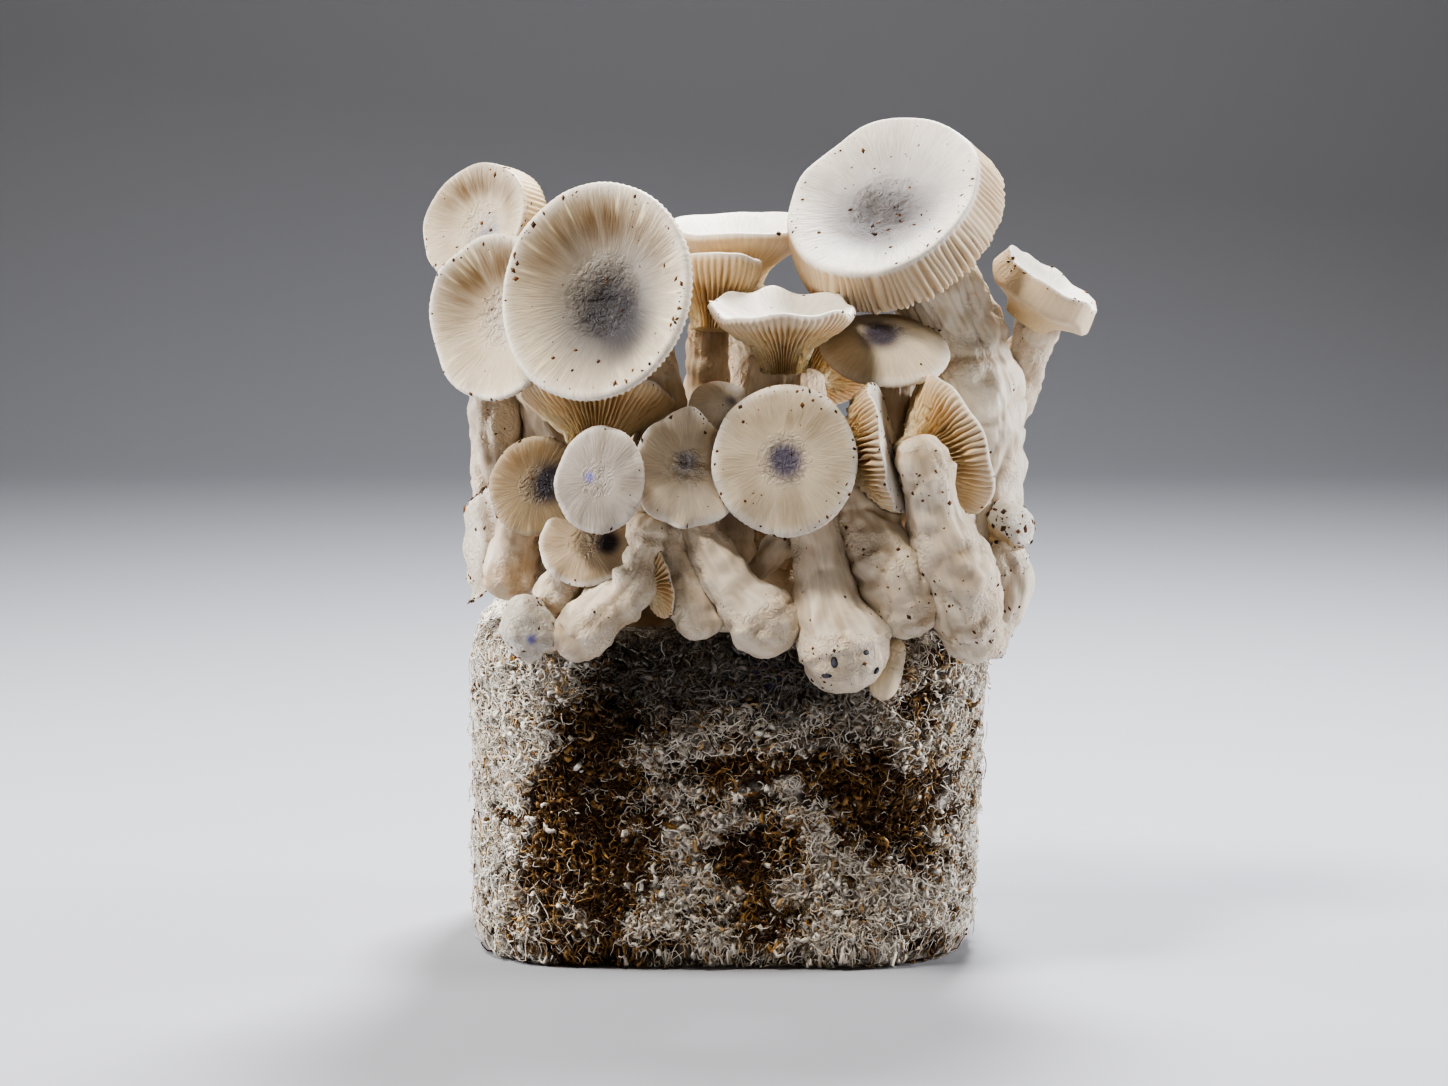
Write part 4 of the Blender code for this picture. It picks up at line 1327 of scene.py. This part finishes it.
def tubes(name, path, outward, thickness, breadth, tint, material):
    """Closed three-sided tubes along many paths at once, drawn to a point at both ends.

    Ring points are path + thickness (breadth cos k side + sin k other) for k = 30, 150 and 270 degrees,
    so a breadth above 1 flattens a thread to a ribbon. No point is left under the floor.
    """
    count, stations = path.shape[:2]
    way = unit(np.gradient(path, axis=1))
    side = unit(np.cross(way, outward + [0.01, 0.02, 0.03]))
    other = np.cross(side, way)
    share = np.linspace(0, 1, stations)
    girth = thickness[:, None] * (1 - np.abs(2 * share - 1) ** 3 * 0.45)
    turn = np.arange(3) * math.tau / 3 + math.pi / 6
    wide = side * breadth[:, None, None]
    ring = wide[:, 1:-1, None] * np.cos(turn)[:, None] + other[:, 1:-1, None] * np.sin(turn)[:, None]
    rings = path[:, 1:-1, None] + ring * girth[:, 1:-1, None, None]
    inner = stations - 2
    per_tube = inner * 3 + 2
    points = np.concatenate([path[:, :1], rings.reshape(count, inner * 3, 3), path[:, -1:]], 1)
    points[..., 2] = np.maximum(points[..., 2], FLOOR_GAP)
    k = np.arange(3)
    after = (k + 1) % 3
    start_fan = np.column_stack([k * 0, 1 + k, 1 + after])
    tip = 1 + (inner - 1) * 3
    end_fan = np.column_stack([k * 0 + per_tube - 1, tip + after, tip + k])
    quads = [np.column_stack([1 + 3 * i + k, 4 + 3 * i + k, 4 + 3 * i + after, 1 + 3 * i + after])
             for i in range(inner - 1)]
    shift = np.arange(count)[:, None, None] * per_tube
    fans = (np.concatenate([start_fan, end_fan])[None] + shift).reshape(-1, 3)
    walls = (np.concatenate(quads)[None] + shift).reshape(-1, 4)
    tints = np.repeat(tint, per_tube, axis=0)
    return mesh_piece(name, points.reshape(-1, 3), [fans, walls], {"tint": tints}, material)


# %% Kinds of thread
THREAD_LIMIT = 6000  # threads in one piece
THREAD_WHITE = (0.86, 0.80, 0.71)
THREAD_GREY = (0.46, 0.39, 0.32)
THREAD_GOLD = (0.48, 0.28, 0.10)
THREAD_BROWN = (0.07, 0.028, 0.008)


thread_finish = tinted_material("thread", 0.32, 0.15, (1.0, 0.7, 0.4))


def thread_tints(around, along, chance):
    """A colour for each thread, from how bare the ground is at its root, darkened in the painted shadow
    under the bulbs.
    """
    row, column = along.astype(int), around.astype(int) % GROUND_COLUMNS
    bare, front = ground_bare[row, column], ground_front[row, column]
    band_shade = under_bulb_shade(plain_ground, ground_front)[row, column]
    kind = chance.uniform(0, 1, len(row))
    grey = chance.uniform(0, 1, len(row)) ** 1.4 * front * (1 - 0.9 * ground_edge[row, column])
    felt = blend(THREAD_WHITE, THREAD_GREY, grey)
    felt = blend(felt, THREAD_GOLD, (kind > 0.88) * 0.8 * front)
    soil = blend(THREAD_BROWN, THREAD_GOLD, kind**3)
    tint = blend(felt, soil, chance.uniform(0, 1, len(row)) < bare * 0.9)
    # Threads in the band under the bulbs are darkened: painted shadow
    return tint * (1 - 0.75 * band_shade)[:, None]


def lay_threads(name, places, heading, radius, sweep, thickness, lift, stand,
                seed, stations=6, ribbon=0.0):
    """Arcs on the map: centre + radius (cos a, sin a), with a from heading over sweep, rising to stand.

    They are made in pieces of a few thousand threads, so that no piece is too heavy.
    """
    chance = np.random.default_rng(seed)
    around, along = places
    share = np.linspace(0, 1, stations)
    angle = heading[:, None] + sweep[:, None] * share
    wobble = chance.normal(0, 0.09, (2, len(around), stations)) * radius[:, None]
    u, v = (
        start[:, None] + (radius[:, None] * (wave(angle) - wave(heading[:, None])) + shake) / GROUND_STEP
        for start, wave, shake in zip((around, along), (np.cos, np.sin), wobble)
    )
    loose = chance.uniform(0, 1, len(around)) < 0.5
    rise = np.where(loose[:, None], share, np.sin(np.pi * share))
    path, outward = on_ground(u, v, lift[:, None] + stand[:, None] * rise)
    path[..., 2] = np.maximum(path[..., 2], block_low[2] + 0.3)
    tint = thread_tints(around, along, chance)
    breadth = 1 + ribbon * chance.uniform(0, 1, len(around)) ** 2
    for part, start in enumerate(range(0, len(around), THREAD_LIMIT)):
        some = slice(start, start + THREAD_LIMIT)
        arrays = (values[some] for values in (path, outward, thickness, breadth, tint))
        piece = tubes(f"{name}_{part}", *arrays, thread_finish)
        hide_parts("substrate_block")


# %% [markdown]
# Four kinds of thread make the felt. Curls are small open rings, thick on the front. Cells are rounder
# and flatter, and leave dark middles. Strands are long and nearly straight. On the smooth sides the
# strands lie flat and mostly upright, pressed there by the bag.

# %% Lay the threads
chance = np.random.default_rng(77)


def spread(count, low_value, high_value):
    """Random values between two bounds."""
    return chance.uniform(low_value, high_value, count)


back_weight = step(0.3, 0.9, ground_normal[..., 1])
thick_felt = 0.35 + 0.65 * step(-0.5, 0.6, rough(plain_ground, 14, 37))
curl_places = pick(8500, 1, np.maximum((0.01 + 0.99 * ground_front) * thick_felt, 0.3 * back_weight))
count = len(curl_places[0])
lay_threads("curls", curl_places, spread(count, 0, math.tau), spread(count, 0.8, 2.4),
            spread(count, 1.8, 4.2), spread(count, 0.14, 0.3), spread(count, 0.1, 0.8),
            spread(count, 0.2, 2.4), seed=2, ribbon=4.5)
cell_places = pick(3600, 3, (0.02 + 0.98 * ground_front * (1 - 0.5 * ground_bare)) * thick_felt)
count = len(cell_places[0])
lay_threads("cells", cell_places, spread(count, 0, math.tau), spread(count, 1.3, 2.8),
            spread(count, 4.6, 6.6), spread(count, 0.16, 0.34), spread(count, 0.3, 1.2),
            spread(count, 0.0, 0.8), seed=4, stations=8)
strand_places = pick(2400, 5, 0.01 + 0.99 * ground_front)
count = len(strand_places[0])
strand_radius = spread(count, 4, 16)
lay_threads("strands", strand_places, spread(count, 0, math.tau), strand_radius,
            spread(count, 4, 14) / strand_radius, spread(count, 0.12, 0.28), spread(count, 0.5, 1.6),
            spread(count, 0.0, 1.6), seed=6, stations=8)
flat_places = pick(5200, 7, 1 - 0.97 * ground_front)
count = len(flat_places[0])
flat_radius = spread(count, 12, 60)
upright = np.where(spread(count, 0, 1) < 0.5, 0, math.pi) + chance.normal(0, 0.4, count)
lay_threads("flat_strands", flat_places, upright, flat_radius, spread(count, 5, 16) / flat_radius,
            spread(count, 0.2, 0.5), spread(count, -0.35, 0.0), spread(count, 0.0, 0.3),
            seed=8, stations=8)
threads_made = [piece for piece in pieces if piece.data.materials[0] == thread_finish]
print("threads:", sum(len(piece.data.polygons) for piece in threads_made), "faces in", len(threads_made))

# %% Brown flecks on the smooth sides
above_foot = np.arange(GROUND_ROWS)[:, None] > FIRST_SIDE_ROW
fleck_weight = (1 - ground_front) * above_foot + 0.15 * ground_front
fleck_weight = fleck_weight * (0.2 + step(-0.2, 0.6, noise(plain_ground, 14, 38)))
fleck_weight[GROUND_ROWS - TOP_ROWS + 8:] = 0
flecks = crumbs("felt_flecks", ground + ground_normal * 0.15, fleck_weight, 2600, 400,
                "substrate_block", 0.4, 1.1)
print("flecks:", len(flecks.data.polygons), "faces")

# %% [markdown]
# ## Everything rides on the one body
#
# Nothing on a mushroom moves, so every piece rides on the root body.

# %% Ride on the root body
for piece in pieces:
    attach(piece, "root")
print(len(pieces), "pieces ride on the root body")

# %% [markdown]
# ## Floor and light
#
# A plain pale sweep stands for the floor and wall. Mushrooms look alive when light comes through them,
# so the strongest lamps are above and behind, and a large soft one in front only opens the shadows.

# %% Floor
def sweep():
    """A floor that bends up into a wall: a straight run, a quarter circle and an upright run."""
    bend = np.linspace(0, math.pi / 2, 16)
    curve = np.column_stack([1.4 + 0.7 * np.sin(bend), 0.7 - 0.7 * np.cos(bend)])
    run = np.concatenate([[[-2.6, 0.0]], curve, [[2.1, 3.2]]])
    left = np.column_stack([np.full(len(run), -3.5), run])
    right = np.column_stack([np.full(len(run), 3.5), run])
    index = np.arange(len(run) - 1)
    faces = np.column_stack([index, index + len(run), index + len(run) + 1, index + 1])
    mesh = bpy.data.meshes.new("floor")
    mesh.from_pydata(np.concatenate([left, right]).tolist(), [], faces.tolist())
    mesh.shade_smooth()
    return mesh


floor_finish, floor_shader = new_material("pale_floor", 0.7)
feed(floor_finish, floor_shader, {"Base Color": (0.38, 0.39, 0.43, 1)})
floor_mesh = sweep()
floor_mesh.materials.append(floor_finish)
floor = bpy.data.objects.new("floor", floor_mesh)
bpy.context.collection.objects.link(floor)
print("floor of", len(floor_mesh.polygons), "faces")


# %% Lights
def soft_light(name, place, aim_at, size, power, colour=(1, 1, 1)):
    """A square area light, turned to a point. Its place is in metres."""
    lamp = bpy.data.lights.new(name, "AREA")
    lamp.size = size
    lamp.energy = power
    lamp.color = colour
    thing = bpy.data.objects.new(name, lamp)
    way = np.array(aim_at) - np.array(place)
    thing.location = place
    tilt = math.acos(-way[2] / np.linalg.norm(way))
    thing.rotation_euler = (tilt, 0, math.atan2(way[0], -way[1]) + math.pi)
    bpy.context.collection.objects.link(thing)


cluster = (0, 0, 0.17)
soft_light("top_back", (0.15, 0.55, 1.05), cluster, 0.3, 22)
soft_light("top_front", (-0.45, -0.4, 1.25), cluster, 0.25, 15, (1.0, 0.95, 0.87))
soft_light("left_side", (-1.0, 0.02, 0.4), cluster, 0.25, 9)
soft_light("right_side", (1.0, 0.02, 0.4), cluster, 0.25, 9)
soft_light("front", (0.35, -1.7, 0.5), cluster, 0.4, 2.6, (1.0, 0.88, 0.72))
world = bpy.data.worlds.new("studio")
bpy.context.scene.world = world
world.use_nodes = True
world.node_tree.nodes["Background"].inputs["Color"].default_value = (1.0, 0.9, 0.78, 1)
world.node_tree.nodes["Background"].inputs["Strength"].default_value = 0.05
bpy.context.scene.view_settings.look = "AgX - High Contrast"
print("five soft lights, look", bpy.context.scene.view_settings.look)
